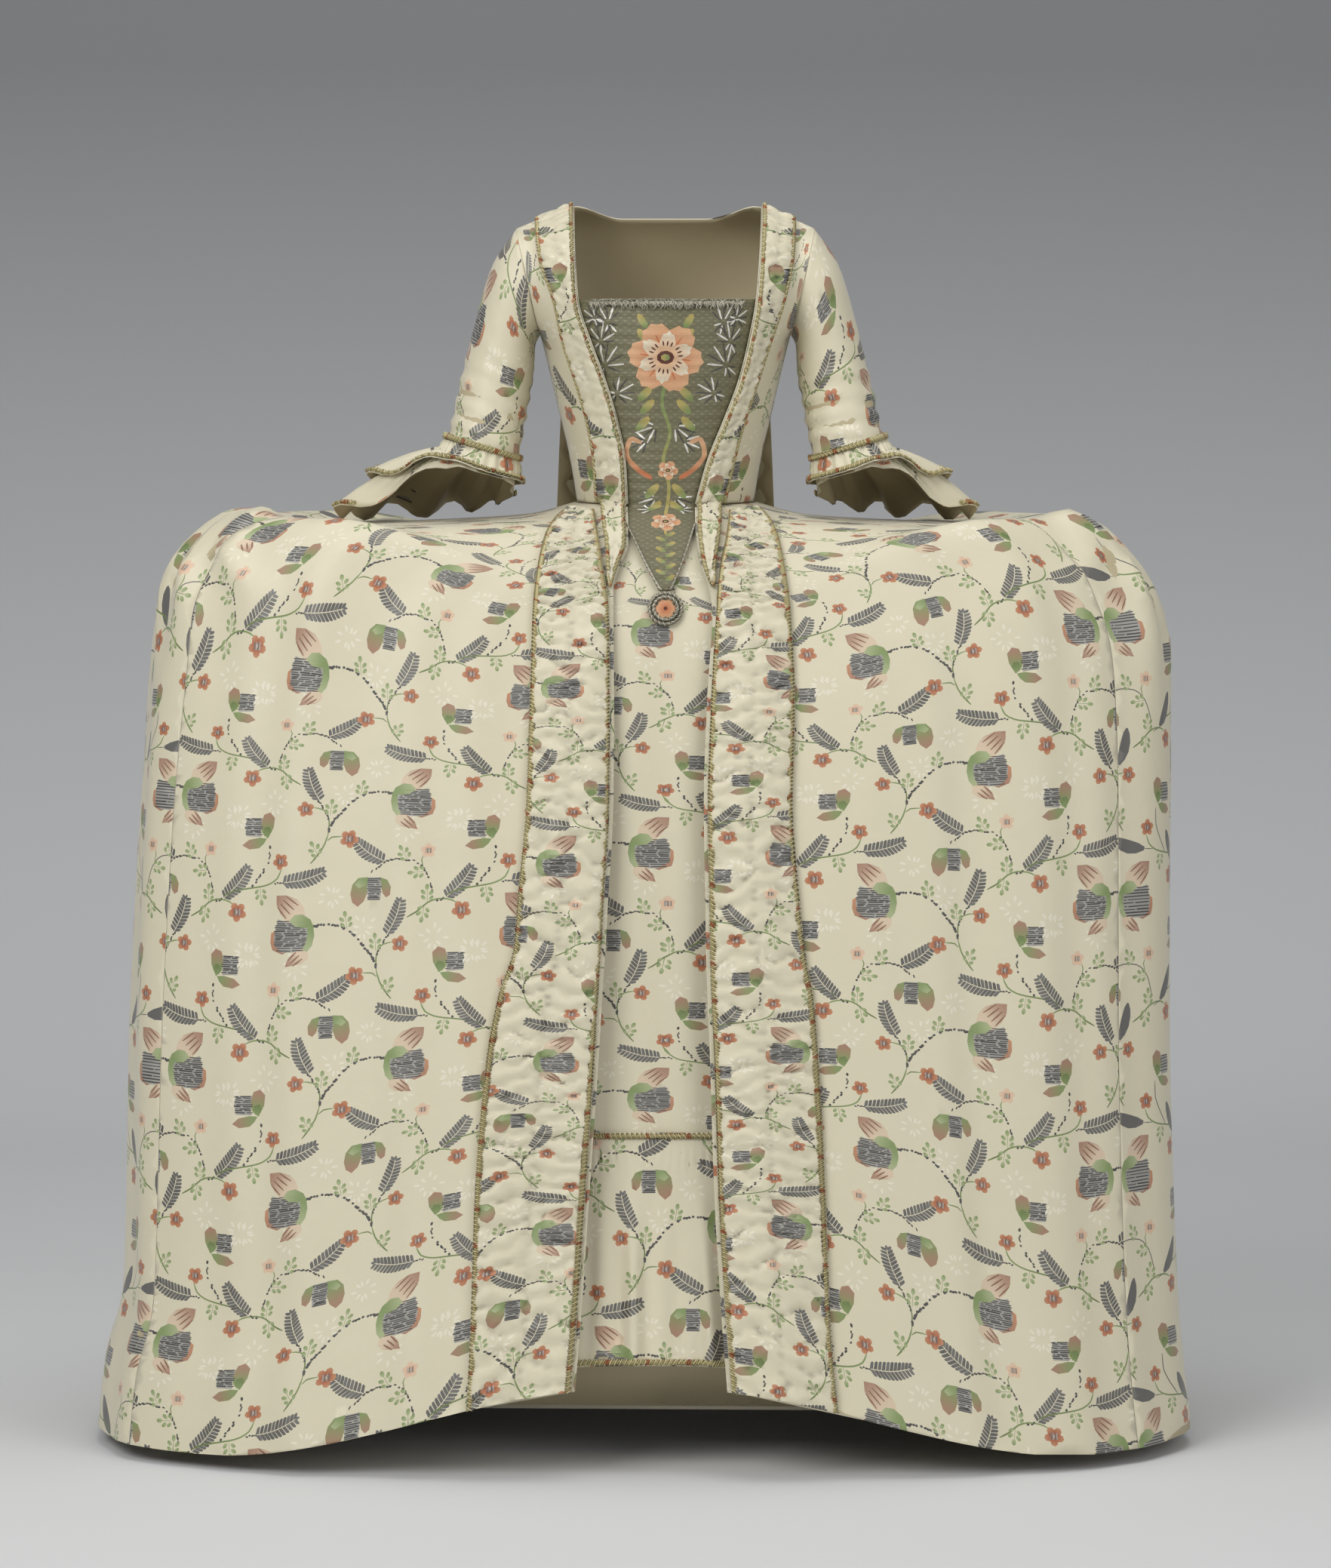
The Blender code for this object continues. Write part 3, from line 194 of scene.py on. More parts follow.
refPlaces = np.linspace(0, 12, 601)
refAngles = np.linspace(-180, 180, 1441)
lengthsDown = np.linalg.norm(np.diff(skirtSurface(refPlaces, 40.0 + 0 * refPlaces), axis=0), axis=1)
lengthsDown = np.concatenate([[0], np.cumsum(lengthsDown)])
lengthsRound = np.linalg.norm(np.diff(skirtSurface(8.0 + 0 * refAngles, refAngles), axis=0), axis=1)
lengthsRound = np.concatenate([[0], np.cumsum(lengthsRound)])
lengthsRound -= lengthsRound[720]


# Place and angle of a spot of the flat cloth: u runs round the wearer's left, v down from the
# waist.
def skirtAt(u, v):
    return np.interp(v, lengthsDown, refPlaces), np.interp(u, lengthsRound, refAngles)


def acrossAt(angle):
    return np.interp(angle, refAngles, lengthsRound)


def downAt(place):
    return np.interp(place, refPlaces, lengthsDown)


def angleAt(place, side, x):
    half = ring["leftHalf" if side > 0 else "rightHalf"](place)
    return side * np.degrees(np.arcsin(np.minimum(1.0, (np.abs(x) / half) ** (ring["power"](place) / 2))))


def placeAtHeight(column, height):
    heights = ring[column](refPlaces)
    return np.interp(-height, -heights, refPlaces)


def seamAngle(place, side):
    low = skirt["sideSeam"][side]
    return low + (skirt["waistSeam"] - low) * (1 - smooth(0, 4, place))


def skirtRelief(u, v):
    place, angle = skirtAt(u, v)
    waves = sum(h * np.sin(2 * math.pi * (u + 0.02 * np.sin(3 * v)) / span + start) for span, h,
                start in skirt["waves"])
    return foldHeight(place, angle) + waves * smooth(3.5, 6.5, place)


# Materials. Every cloth carries its woven colours in the attribute "paint", whose alpha is its metal thread

def nodeOf(tree, kind, **values):
    node = tree.nodes.new("ShaderNode" + kind)
    for key, value in values.items():
        if key in node.inputs:
            node.inputs[key].default_value = value
        else:
            setattr(node, key, value)
    return node


def mathNode(tree, operation, first, second):
    node = nodeOf(tree, "Math", operation=operation)
    for socket, value in zip(node.inputs, (first, second)):
        if isinstance(value, (int, float)):
            socket.default_value = value
        else:
            tree.links.new(value, socket)
    return node.outputs[0]


def mixColour(tree, factor, first, second, blend="MIX"):
    node = nodeOf(tree, "Mix", data_type="RGBA", blend_type=blend)
    for socket, value in zip((node.inputs[0], node.inputs[6], node.inputs[7]), (factor, first, second)):
        if isinstance(value, (int, float, tuple)):
            socket.default_value = value
        else:
            tree.links.new(value, socket)
    return node.outputs[2]


# Silk threads in flat coordinates: weft ribs, slubs and soft rumples. Shade is the slubs' own tone plus painted shade,
# darker in the rumples' hollows.
def makeWeaveGroup():
    tree = bpy.data.node_groups.new("silkWeave", "ShaderNodeTree")
    tree.interface.new_socket("Cloth", in_out="INPUT", socket_type="NodeSocketVector")
    tree.interface.new_socket("Rib Pitch", in_out="INPUT",
                              socket_type="NodeSocketFloat").default_value = 0.0006
    tree.interface.new_socket("Height", in_out="OUTPUT", socket_type="NodeSocketFloat")
    tree.interface.new_socket("Shade", in_out="OUTPUT", socket_type="NodeSocketFloat")
    start, end = tree.nodes.new("NodeGroupInput"), tree.nodes.new("NodeGroupOutput")
    split = nodeOf(tree, "SeparateXYZ")
    tree.links.new(start.outputs["Cloth"], split.inputs[0])
    turns = mathNode(tree, "DIVIDE", split.outputs[1], start.outputs["Rib Pitch"])
    ribs = mathNode(tree, "SINE", mathNode(tree, "MULTIPLY", turns, 2 * math.pi), 0.0)
    threads = nodeOf(tree, "Mapping")
    threads.inputs["Scale"].default_value = (160, 2600, 1)
    tree.links.new(start.outputs["Cloth"], threads.inputs["Vector"])
    slubs = nodeOf(tree, "TexNoise", Scale=1.0, Detail=2.0)
    tree.links.new(threads.outputs[0], slubs.inputs["Vector"])
    rumple = nodeOf(tree, "TexNoise", Scale=26.0, Detail=4.0, Roughness=0.55)
    tree.links.new(start.outputs["Cloth"], rumple.inputs["Vector"])
    fine = mathNode(tree, "MULTIPLY",
                    mathNode(tree, "ADD", ribs, mathNode(tree, "MULTIPLY", slubs.outputs[0], 2.0)), 0.00004)
    wide = mathNode(tree, "MULTIPLY", rumple.outputs[0], 0.0016)
    tree.links.new(mathNode(tree, "ADD", fine, wide), end.inputs["Height"])
    # Shade: the slubs' tone, plus painted shade from the rumple noise, which is also the bump's height.
    shade = mathNode(tree, "ADD", mathNode(tree, "MULTIPLY", slubs.outputs[0], 0.35),
                     mathNode(tree, "MULTIPLY", rumple.outputs[0], 0.35))
    tree.links.new(shade, end.inputs["Shade"])
    return tree


silkWeave = makeWeaveGroup()


def clothMaterial(name, ribPitch=0.0006, roughness=0.42, sheen=0.25, bump=0.55, toneAndShade=(0.93, 1.05)):
    made = bpy.data.materials.new(name)
    made.use_nodes = True
    tree = made.node_tree
    shader = tree.nodes["Principled BSDF"]
    flat = nodeOf(tree, "UVMap", uv_map="flat")
    weave = tree.nodes.new("ShaderNodeGroup")
    weave.node_tree = silkWeave
    weave.inputs["Rib Pitch"].default_value = ribPitch
    tree.links.new(flat.outputs[0], weave.inputs["Cloth"])
    paint = nodeOf(tree, "Attribute", attribute_name="paint")
    # The weave's Shade multiplies the paint colour: the slubs' tone and the painted shade in the rumples' hollows.
    shade = nodeOf(tree, "MapRange")
    shade.inputs["To Min"].default_value, shade.inputs["To Max"].default_value = toneAndShade
    tree.links.new(weave.outputs["Shade"], shade.inputs["Value"])
    colour = mixColour(tree, 1.0, paint.outputs["Color"], shade.outputs[0], "MULTIPLY")
    tree.links.new(colour, shader.inputs["Base Color"])
    metal = paint.outputs["Alpha"]
    tree.links.new(mathNode(tree, "MULTIPLY", metal, 0.55), shader.inputs["Metallic"])
    rough = mathNode(tree, "SUBTRACT", roughness + 0.08,
                     mathNode(tree, "MULTIPLY", weave.outputs["Shade"], 0.15))
    tree.links.new(rough, shader.inputs["Roughness"])
    shader.inputs["Sheen Weight"].default_value = sheen
    shader.inputs["Sheen Roughness"].default_value = 0.35
    shader.inputs["Specular IOR Level"].default_value = 0.45
    relief = nodeOf(tree, "Bump", Strength=bump, Distance=1.0)
    raised = mathNode(tree, "ADD", weave.outputs["Height"], mathNode(tree, "MULTIPLY", metal, 0.00012))
    tree.links.new(raised, relief.inputs["Height"])
    tree.links.new(relief.outputs[0], shader.inputs["Normal"])
    return made


# A linear colour from the usual six digits.
def colourOf(text):
    parts = [int(text[i : i + 2], 16) / 255 for i in (1, 3, 5)]
    return tuple(c / 12.92 if c <= 0.04045 else ((c + 0.055) / 1.055) ** 2.4 for c in parts)


silk = {
    "cream": colourOf("#d9d1b6"),
    "damask": colourOf("#e4ddc8"),
    "lining": colourOf("#b9ac8b"),
    "leaf": colourOf("#849560"),
    "paleLeaf": colourOf("#a9b287"),
    "darkLeaf": colourOf("#6d7c4a"),
    "silver": colourOf("#716f6b"),
    "darkSilver": colourOf("#555350"),
    "paleSilver": colourOf("#a3a098"),
    "rust": colourOf("#9d4c2c"),
    "orange": colourOf("#c08a66"),
    "ghost": colourOf("#dfae8d"),
    "petal": colourOf("#a5806a"),
    "petalDark": colourOf("#86604c"),
    "petalPale": colourOf("#d8c3a8"),
}
brocade = clothMaterial("brocade")
lining = clothMaterial("lining", ribPitch=0.0009, roughness=0.6, sheen=0.1, bump=0.4)
print("frame and materials ready")


# The woven pattern. A repeat is drawn in quarter millimetres, x to the right and y down the cloth, and
# its second half is the first turned over and dropped by half a repeat

pattern = {
    "repeat": (1005.0, 1218.0),
    "unit": 0.0002357,
    "glide": 1075.0,
    # base and tip of each fern leaf, with its width
    "ferns": [((232, 108), (412, 58), 66), ((955, 180), (1066, 42), 66), ((700, 340), (756, 186), 62),
              ((400, 622), (528, 532), 66)],
    "flowers": [((215, 15), 38, "rust"), ((1022, 240), 44, "rust"), ((757, 385), 38, "rust"),
                ((560, 520), 43, "rust"), ((205, 576), 36, "ghost")],
    # where each sprig springs from, and the way that it points, in degrees from the right, downward
    "sprigs": [((118, 130), 80), ((872, 200), -92), ((860, 215), 100), ((520, 312), -100),
               ((650, 412), -95), ((690, 602), -60), ((292, 620), -60), ((862, 62), 175)],
    "beads": [
        ([(375, 297), (440, 293), (500, 305), (560, 350), (600, 400), (640, 450), (655, 500)], 11, 0.85),
        ([(915, 540), (915, 600), (940, 660), (975, 710), (1000, 742)], 8, 0.75),
        ([(398, 626), (340, 615), (280, 620), (240, 640), (212, 675), (195, 720), (182, 770)], 7, 0.7),
        ([(702, 345), (672, 390), (656, 436)], 7, 0.9),
        ([(955, 182), (905, 202)], 7, 0.9),
        ([(621, 84), (623, 59), (650, 39), (670, 21)], 6, 0.6),
        ([(232, 108), (180, 112)], 6, 0.6),
    ],
    "stems": [
        ([(1000, 206), (965, 190), (925, 187), (880, 200), (832, 240), (785, 268)], 7),
        ([(220, 50), (204, 88), (150, 120), (64, 136), (0, 148), (-50, 172)], 7),
        ([(655, 500), (668, 545), (700, 600), (725, 632)], 7),
        ([(728, 376), (690, 382), (662, 405), (652, 450), (655, 500)], 6),
        ([(592, 510), (630, 510), (656, 528)], 6),
        ([(222, 590), (233, 622), (226, 650)], 5),
    ],
    "damask": [(590, 310), (450, 170), (1085, 430), (300, 480), (900, 360), (60, 420)],
}


# One patch of the pattern: its outline, its colours at the two ends of an axis, and its metal
# thread.
def newPiece(points, first, second=None, axis=None, metal=0.0):
    points = np.array(points, float)
    axis = axis or (tuple(points[0]), tuple(points[len(points) // 2]))
    first = silk[first] if isinstance(first, str) else first
    second = first if second is None else (silk[second] if isinstance(second, str) else second)
    return {"points": points, "first": first, "second": second, "axis": np.array(axis, float),
            "metal": metal}


def shaded(name, spread=0.12):
    scale = 1 + chance.uniform(-spread, spread)
    return tuple(min(1.0, c * scale) for c in silk[name])


# An oval, its long way turned by so many degrees.
def rounded(centre, along, across, turn, count=7):
    a = math.radians(turn)
    way, side = np.array([math.cos(a), math.sin(a)]), np.array([-math.sin(a), math.cos(a)])
    steps = [2 * math.pi * i / count for i in range(count)]
    return [np.array(centre) + way * along * math.cos(s) + side * across * math.sin(s) for s in steps]


def fernLeaf(base, tip, width, plain):
    base, tip = np.array(base, float), np.array(tip, float)
    way = (tip - base) / np.linalg.norm(tip - base)
    side = np.array([-way[1], way[0]])
    length = np.linalg.norm(tip - base)
    pairs = max(6, round(length / 16.5))
    bow = 0.06 * length
    pieces = []
    if plain:
        spots = [base + way * length * t + side * (bow * math.sin(math.pi * t))
                 for t in (0.0, 0.2, 0.45, 0.7, 0.9, 1.04)]
        halves = [width * 0.12, width * 0.36, width * 0.46, width * 0.42, width * 0.30, width * 0.08]
        outline = [p + side * h for p, h in zip(spots, halves)] + [p - side * h for p,
                                                                   h in zip(spots, halves)][::-1]
        return [newPiece(outline, "silver", metal=0.6)]
    for k in range(pairs):
        at = (k + 0.35) / pairs
        middle = base + way * length * at + side * bow * math.sin(math.pi * at)
        reach = width / 2 * (0.55 + 0.75 * math.sin(math.pi * min(1.0, 0.16 + 0.80 * at)) ** 0.8) * 0.86
        thick = length / pairs * 0.45
        for hand in (1, -1):
            out = side * hand * 0.93 + way * 0.42
            start = middle + out * 2.0
            end = middle + out * reach
            outline = [start - way * thick, end - way * thick * 0.9, end + out * 4.5,
                       end + way * thick * 0.9, start + way * thick]
            pieces.append(newPiece(outline, shaded("silver", 0.16), metal=0.75))
    last = base + way * length * 1.0
    pieces.append(newPiece(rounded(last, 11, 6, math.degrees(math.atan2(way[1], way[0])), 6),
                           shaded("silver"), metal=0.75))
    return pieces


def flowerHead(centre, radius, kind):
    pieces = []
    turn = chance.uniform(0, 70)
    for k in range(5):
        a = math.radians(turn + 72 * k)
        middle = np.array(centre) + radius * 0.56 * np.array([math.cos(a), math.sin(a)])
        outline = rounded(middle, radius * 0.46, radius * 0.40, math.degrees(a) + chance.uniform(-12, 12),
                          7)
        outer = np.array(centre) + radius * np.array([math.cos(a), math.sin(a)])
        first, second = ("ghost", "petalPale") if kind == "ghost" else ("rust", "orange")
        pieces.append(newPiece(outline, first, second, (tuple(centre), tuple(outer))))
    for k in range(4):
        low = np.array(centre) + np.array([-radius * 0.36 + radius * 0.19 * k, -radius * 0.34])
        outline = [low, low + [radius * 0.12, 0], low + [radius * 0.14, radius * 0.66],
                   low + [0.0, radius * 0.68]]
        pieces.append(newPiece(outline, "silver" if k % 2 == 0 else "paleSilver", metal=0.6))
    return pieces


def sprig(base, turn):
    pieces = []
    a = math.radians(turn)
    way, side = np.array([math.cos(a), math.sin(a)]), np.array([-math.sin(a), math.cos(a)])
    base = np.array(base, float)
    pieces.append(newPiece(strokeOutline([base, base + way * 55], 3.4), "leaf"))
    for step, hand, size in ((16, 1, 13), (20, -1, 13), (40, 1, 14), (44, -1, 14), (66, 0, 15)):
        middle = base + way * step + side * hand * 17
        outline = rounded(middle, size, size * 0.62, turn + hand * 42, 7)
        pieces.append(newPiece(outline, "leaf", "paleLeaf", (tuple(outline[0]), tuple(outline[3]))))
    return pieces


# The outline of a stroke of a brush along a path, thinner at its ends.
def strokeOutline(path, width):
    path = [np.array(p, float) for p in path]
    left, right = [], []
    for i, here in enumerate(path):
        way = path[min(i + 1, len(path) - 1)] - path[max(i - 1, 0)]
        side = np.array([-way[1], way[0]]) / max(np.linalg.norm(way), 1e-6)
        thick = width / 2 * (0.55 if i in (0, len(path) - 1) else 1.0)
        left.append(here + side * thick)
        right.append(here - side * thick)
    return left + right[::-1]


# The path's points on a smooth curve, a step apart.
def softPath(path, step):
    path = np.array(path, float)
    lengths = np.concatenate([[0], np.cumsum(np.linalg.norm(np.diff(path, axis=0), axis=1))])
    at = np.linspace(0, lengths[-1], max(3, int(lengths[-1] / step) + 1))
    return np.stack([curveThrough(lengths, path[:, k])(at) for k in (0, 1)], -1)


def beadedStem(path, width, share, plain):
    pieces = []
    if plain:
        return [newPiece(strokeOutline(softPath(path, 24), width * 0.7), "silver", metal=0.5)]
    points = softPath(path, 11)
    for i in range(len(points) - 1):
        if chance.random() > share:
            continue
        way = points[i + 1] - points[i]
        turn = math.degrees(math.atan2(way[1], way[0])) + chance.uniform(-30, 30)
        middle = points[i] + [chance.uniform(-3, 3), chance.uniform(-3, 3)]
        across = width * chance.uniform(0.45, 0.8)
        pieces.append(newPiece(rounded(middle, chance.uniform(6, 9.5), across, turn, 6),
                               shaded("darkSilver", 0.2), metal=0.5))
    return pieces


# Uneven rows of metal thread: each runs from side to side, and bulges outward in the middle rows.
def striations(left, right, top, bottom, pitch, bulge=0.0, plain=False):
    pieces = []
    y = top
    while y < bottom:
        share = (y - top) / (bottom - top)
        swell = bulge * math.sin(math.pi * share)
        x = left - swell + chance.uniform(-6, 8)
        end = right + swell + chance.uniform(-8, 6)
        while x < end - 6:
            run = min(end, x + chance.uniform(30, 80) * (2 if plain else 1))
            thick = chance.uniform(4.4, 6.6)
            lean = chance.uniform(-2, 2)
            outline = [(x, y), (x + 4, y - thick / 2), (run - 4, y + lean - thick / 2), (run, y + lean),
                       (run - 4, y + lean + thick / 2), (x + 4, y + thick / 2)]
            pieces.append(newPiece(outline, shaded("darkSilver", 0.3), metal=0.6))
            x = run + chance.uniform(2, 7)
        y += pitch * chance.uniform(0.85, 1.2) * (1.5 if plain else 1)
    return pieces


# A petal that goes from green through cream to brown, with darker stripes near its tip.
def petalShape(outline, base, tip, stripes=3):
    base, tip = np.array(base, float), np.array(tip, float)
    middle = base + (tip - base) * 0.42
    pieces = [newPiece(outline, "petalPale", "petal", (tuple(middle), tuple(tip)))]
    way = (tip - base) / np.linalg.norm(tip - base)
    side = np.array([-way[1], way[0]])
    inner = np.array(outline).mean(axis=0)
    reach = np.linalg.norm(tip - inner)
    for k in range(stripes):
        shift = side * (k - (stripes - 1) / 2) * reach * 0.30
        start, end = inner + shift - way * reach * 0.15, inner + shift * 0.8 + way * reach * 0.62
        pieces.append(newPiece(strokeOutline([start, (start + end) / 2, end], 7), "petalDark"))
    return pieces


def bigBud(plain):
    pieces = petalShape([(345, 280), (330, 215), (300, 180), (250, 163), (203, 165), (205, 205),
                         (225, 245), (262, 285), (310, 306)], (360, 300), (210, 165), 4)
    pieces += petalShape([(352, 400), (356, 438), (330, 462), (255, 476), (268, 440), (290, 412),
                          (320, 395)], (360, 380), (258, 474), 3)
    pieces.append(newPiece([(205, 315), (183, 330), (181, 370), (192, 402), (240, 421), (262, 412),
                            (240, 395), (222, 350)], "orange", "petal"))
    body = [(215, 268), (262, 282), (350, 300), (352, 345), (338, 392), (290, 412), (240, 412),
            (205, 385), (196, 340)]
    pieces.append(newPiece(body, "paleSilver", metal=0.3))
    pieces += striations(208, 340, 278, 408, 9.0, 8, plain)
    pieces.append(newPiece([(374, 297), (360, 268), (325, 246), (290, 250), (268, 276), (296, 300),
                            (336, 306)], "leaf", "paleLeaf", ((360, 290), (270, 262))))
    pieces.append(newPiece([(374, 297), (379, 340), (370, 384), (350, 410), (330, 402), (344, 372),
                            (350, 330), (346, 304)], "leaf", "paleLeaf", ((374, 300), (340, 408))))
    return pieces


def halfBud(plain):
    pieces = [newPiece([(606, 84), (562, 88), (536, 118), (529, 160), (538, 196), (563, 216), (590, 192),
                        (606, 150), (610, 110)], "leaf", "petal", ((590, 95), (560, 212)))]
    pieces.append(newPiece([(655, 84), (694, 98), (711, 130), (708, 166), (690, 177), (674, 158),
                            (664, 118)], "leaf", "petal", ((670, 92), (696, 176))))
    pieces.append(newPiece([(606, 84), (570, 92), (548, 118), (566, 134), (600, 118)], "leaf", "paleLeaf",
                           ((595, 92), (556, 132))))
    pieces.append(newPiece([(606, 86), (662, 86), (668, 130), (664, 182), (608, 186), (602, 130)],
                           "paleSilver", metal=0.3))
    pieces += striations(606, 664, 92, 184, 8.5, 3, plain)
    return pieces


def smallBud(plain):
    pieces = [newPiece([(928, 520), (903, 472), (899, 428), (924, 403), (954, 414), (967, 450),
                        (962, 492), (946, 512)], "leaf", "petal", ((932, 500), (928, 408)))]
    pieces.append(newPiece([(934, 522), (970, 519), (1020, 530), (1050, 556), (1016, 573), (970, 566),
                            (948, 546)], "leaf", "petal", ((945, 530), (1045, 556))))
    pieces.append(newPiece([(930, 522), (912, 490), (925, 468), (950, 474), (956, 500)], "leaf",
                           "darkLeaf"))
    pieces.append(newPiece([(962, 430), (1034, 434), (1042, 470), (1034, 514), (962, 516), (966, 470)],
                           "paleSilver", metal=0.3))
    pieces += striations(960, 1038, 434, 512, 8.5, 4, plain)
    return pieces


# Faint self-coloured leaves in the ground.
def damaskSpray(centre):
    pieces = []
    for k in range(9):
        a = math.radians(40 * k + chance.uniform(-10, 10))
        reach = chance.uniform(28, 58)
        middle = np.array(centre) + reach * np.array([math.cos(a), math.sin(a)])
        pieces.append(newPiece(rounded(middle, 15, 6, math.degrees(a), 6), "damask"))
    return pieces


def drawRepeat(plain):
    half = []
    for centre in pattern["damask"]:
        half += [] if plain else damaskSpray(centre)
    for path, width in pattern["stems"]:
        half.append(newPiece(strokeOutline(softPath(path, 22), width), "leaf", "darkLeaf"))
    for path, width, share in pattern["beads"]:
        half += beadedStem(path, width, share, plain)
    for base, tip, width in pattern["ferns"]:
        half += fernLeaf(base, tip, width, plain)
    for base, turn in pattern["sprigs"]:
        half += sprig(base, turn)
    for centre, radius, kind in pattern["flowers"]:
        half += flowerHead(centre, radius, kind)
    half += bigBud(plain) + halfBud(plain) + smallBud(plain)
    whole = list(half)
    drop = pattern["repeat"][1] / 2
    for piece in half:
        turned = dict(piece)
        for key in ("points", "axis"):
            moved = piece[key].copy()
            moved[:, 0] = pattern["glide"] - moved[:, 0]
            moved[:, 1] += drop
            turned[key] = moved
        whole.append(turned)
    for piece in whole:
        for key in ("points", "axis"):
            piece[key] = piece[key] * pattern["unit"]
    return whole


repeatPieces = {plain: drawRepeat(plain) for plain in (False, True)}
print("pattern drawn:", len(repeatPieces[False]), "patches in a repeat")


# The pieces of the pattern that lie in the border's box, shifted by the origin.
def patternOver(border, origin, mirror=False, keep=None, plain=False, gather=1.0):
    low, high = border.min(axis=0), border.max(axis=0)
    wide, tall = (pattern["unit"] * side for side in pattern["repeat"])
    tall /= gather
    found = []
    for i in range(int((low[0] - origin[0]) // wide) - 1, int((high[0] - origin[0]) // wide) + 2):
        for j in range(int((low[1] - origin[1]) // tall) - 1, int((high[1] - origin[1]) // tall) + 2):
            shift = np.array([origin[0] + i * wide, origin[1] + j * tall])
            for piece in repeatPieces[plain]:
                points, axis = piece["points"] / [1, gather] + shift, piece["axis"] / [1, gather] + shift
                if mirror:
                    points, axis = points * [-1, 1] + [low[0] + high[0], 0], axis * [-1,
                                                                                     1] + [low[0]
                                                                                           + high[0], 0]
                if (points.max(axis=0) < low).any() or (points.min(axis=0) > high).any():
                    continue
                if keep is not None and not keep(points.mean(axis=0)):
                    continue
                found.append({**piece, "points": points, "axis": axis})
    return found


# Cloth

def normalsOf(surface, u, v, sign):
    e = 0.0015
    across, down = surface(u + e, v) - surface(u - e, v), surface(u, v + e) - surface(u, v - e)
    normal = np.cross(down, across) * sign
    return normal / np.maximum(np.linalg.norm(normal, axis=1), 1e-12)[:, None]


# Triangles over the border's inside, cut along every patch of the pattern, with points a step
# apart.
def triangulate(border, pieces, step):
    low, high = border.min(axis=0), border.max(axis=0)
    points, faces = [], []
    for outline in [border] + [piece["points"] for piece in pieces]:
        start = len(points)
        points += [tuple(p) for p in outline]
        face = list(range(start, len(points)))
        after = np.roll(outline, -1, axis=0)
        turn = (outline[:, 0] * after[:, 1] - after[:, 0] * outline[:, 1]).sum()
        faces.append(face if turn > 0 else face[::-1])
    stepU, stepV = step if isinstance(step, tuple) else (step, step)
    for r, v in enumerate(np.arange(low[1] + stepV / 2, high[1], stepV)):
        for u in np.arange(low[0] + stepU * (0.25 + 0.5 * (r % 2)), high[0], stepU):
            points.append((u, v))
    out = delaunay_2d_cdt([Vector(p) for p in points], [], faces, 1, 1e-7, True)
    corners = np.array([(p.x, p.y) for p in out[0]])
    kept = [(tri, max(ids)) for tri, ids in zip(out[2], out[5]) if 0 in ids]
    return corners, np.array([k[0] for k in kept]), np.array([k[1] for k in kept]), out[3]


# The corners round the edge of a triangulated sheet, in order.
def borderLoop(triangles):
    edges = {}
    for a, b, c in triangles.tolist():
        for pair in ((a, b), (b, c), (c, a)):
            edges[pair] = True
    after = {a: b for a, b in edges if (b, a) not in edges}
    start = next(iter(after))
    loop, here = [start], after[start]
    while here != start:
        loop.append(here)
        here = after[here]
    return loop


def addMesh(name, points, triangles, flat=None, paint=None, materials=(), inside=None):
    mesh = bpy.data.meshes.new(name)
    mesh.from_pydata(points.tolist(), [], triangles.tolist())
    mesh.update()
    corners = triangles.reshape(-1)
    if flat is not None:
        mesh.uv_layers.new(name="flat").data.foreach_set("uv", flat[corners].astype(np.float32).reshape(-1))
    if paint is not None:
        layer = mesh.color_attributes.new(name="paint", type="FLOAT_COLOR", domain="CORNER")
        layer.data.foreach_set("color", paint.astype(np.float32).reshape(-1))
    for material in materials:
        mesh.materials.append(material)
    if inside is not None:
        mesh.polygons.foreach_set("material_index", inside.astype(np.int32))
    mesh.shade_smooth()
    piece = bpy.data.objects.new(name, mesh)
    bpy.context.scene.collection.objects.link(piece)
    return piece


# The colour of each triangle's three corners, with the metal in the fourth channel.
def paintOf(corners, triangles, owners, pieces, ground):
    first = np.array([ground] + [p["first"] for p in pieces])
    second = np.array([ground] + [p["second"] for p in pieces])
    metal = np.array([0.0] + [p["metal"] for p in pieces])
    axis = np.array([[[0, 0], [1, 0]]] + [p["axis"] for p in pieces])
    way = axis[:, 1] - axis[:, 0]
    spots = corners[triangles]
    reach = np.einsum("tcd,td->tc", spots - axis[owners][:, None, 0], way[owners])
    share = smooth(0, 1, reach / np.maximum((way[owners] ** 2).sum(axis=1), 1e-12)[:, None])
    colour = first[owners][:, None] + (second - first)[owners][:, None] * share[..., None]
    alpha = np.repeat(metal[owners][:, None, None], 3, axis=1)
    return np.concatenate([colour, alpha], axis=2)


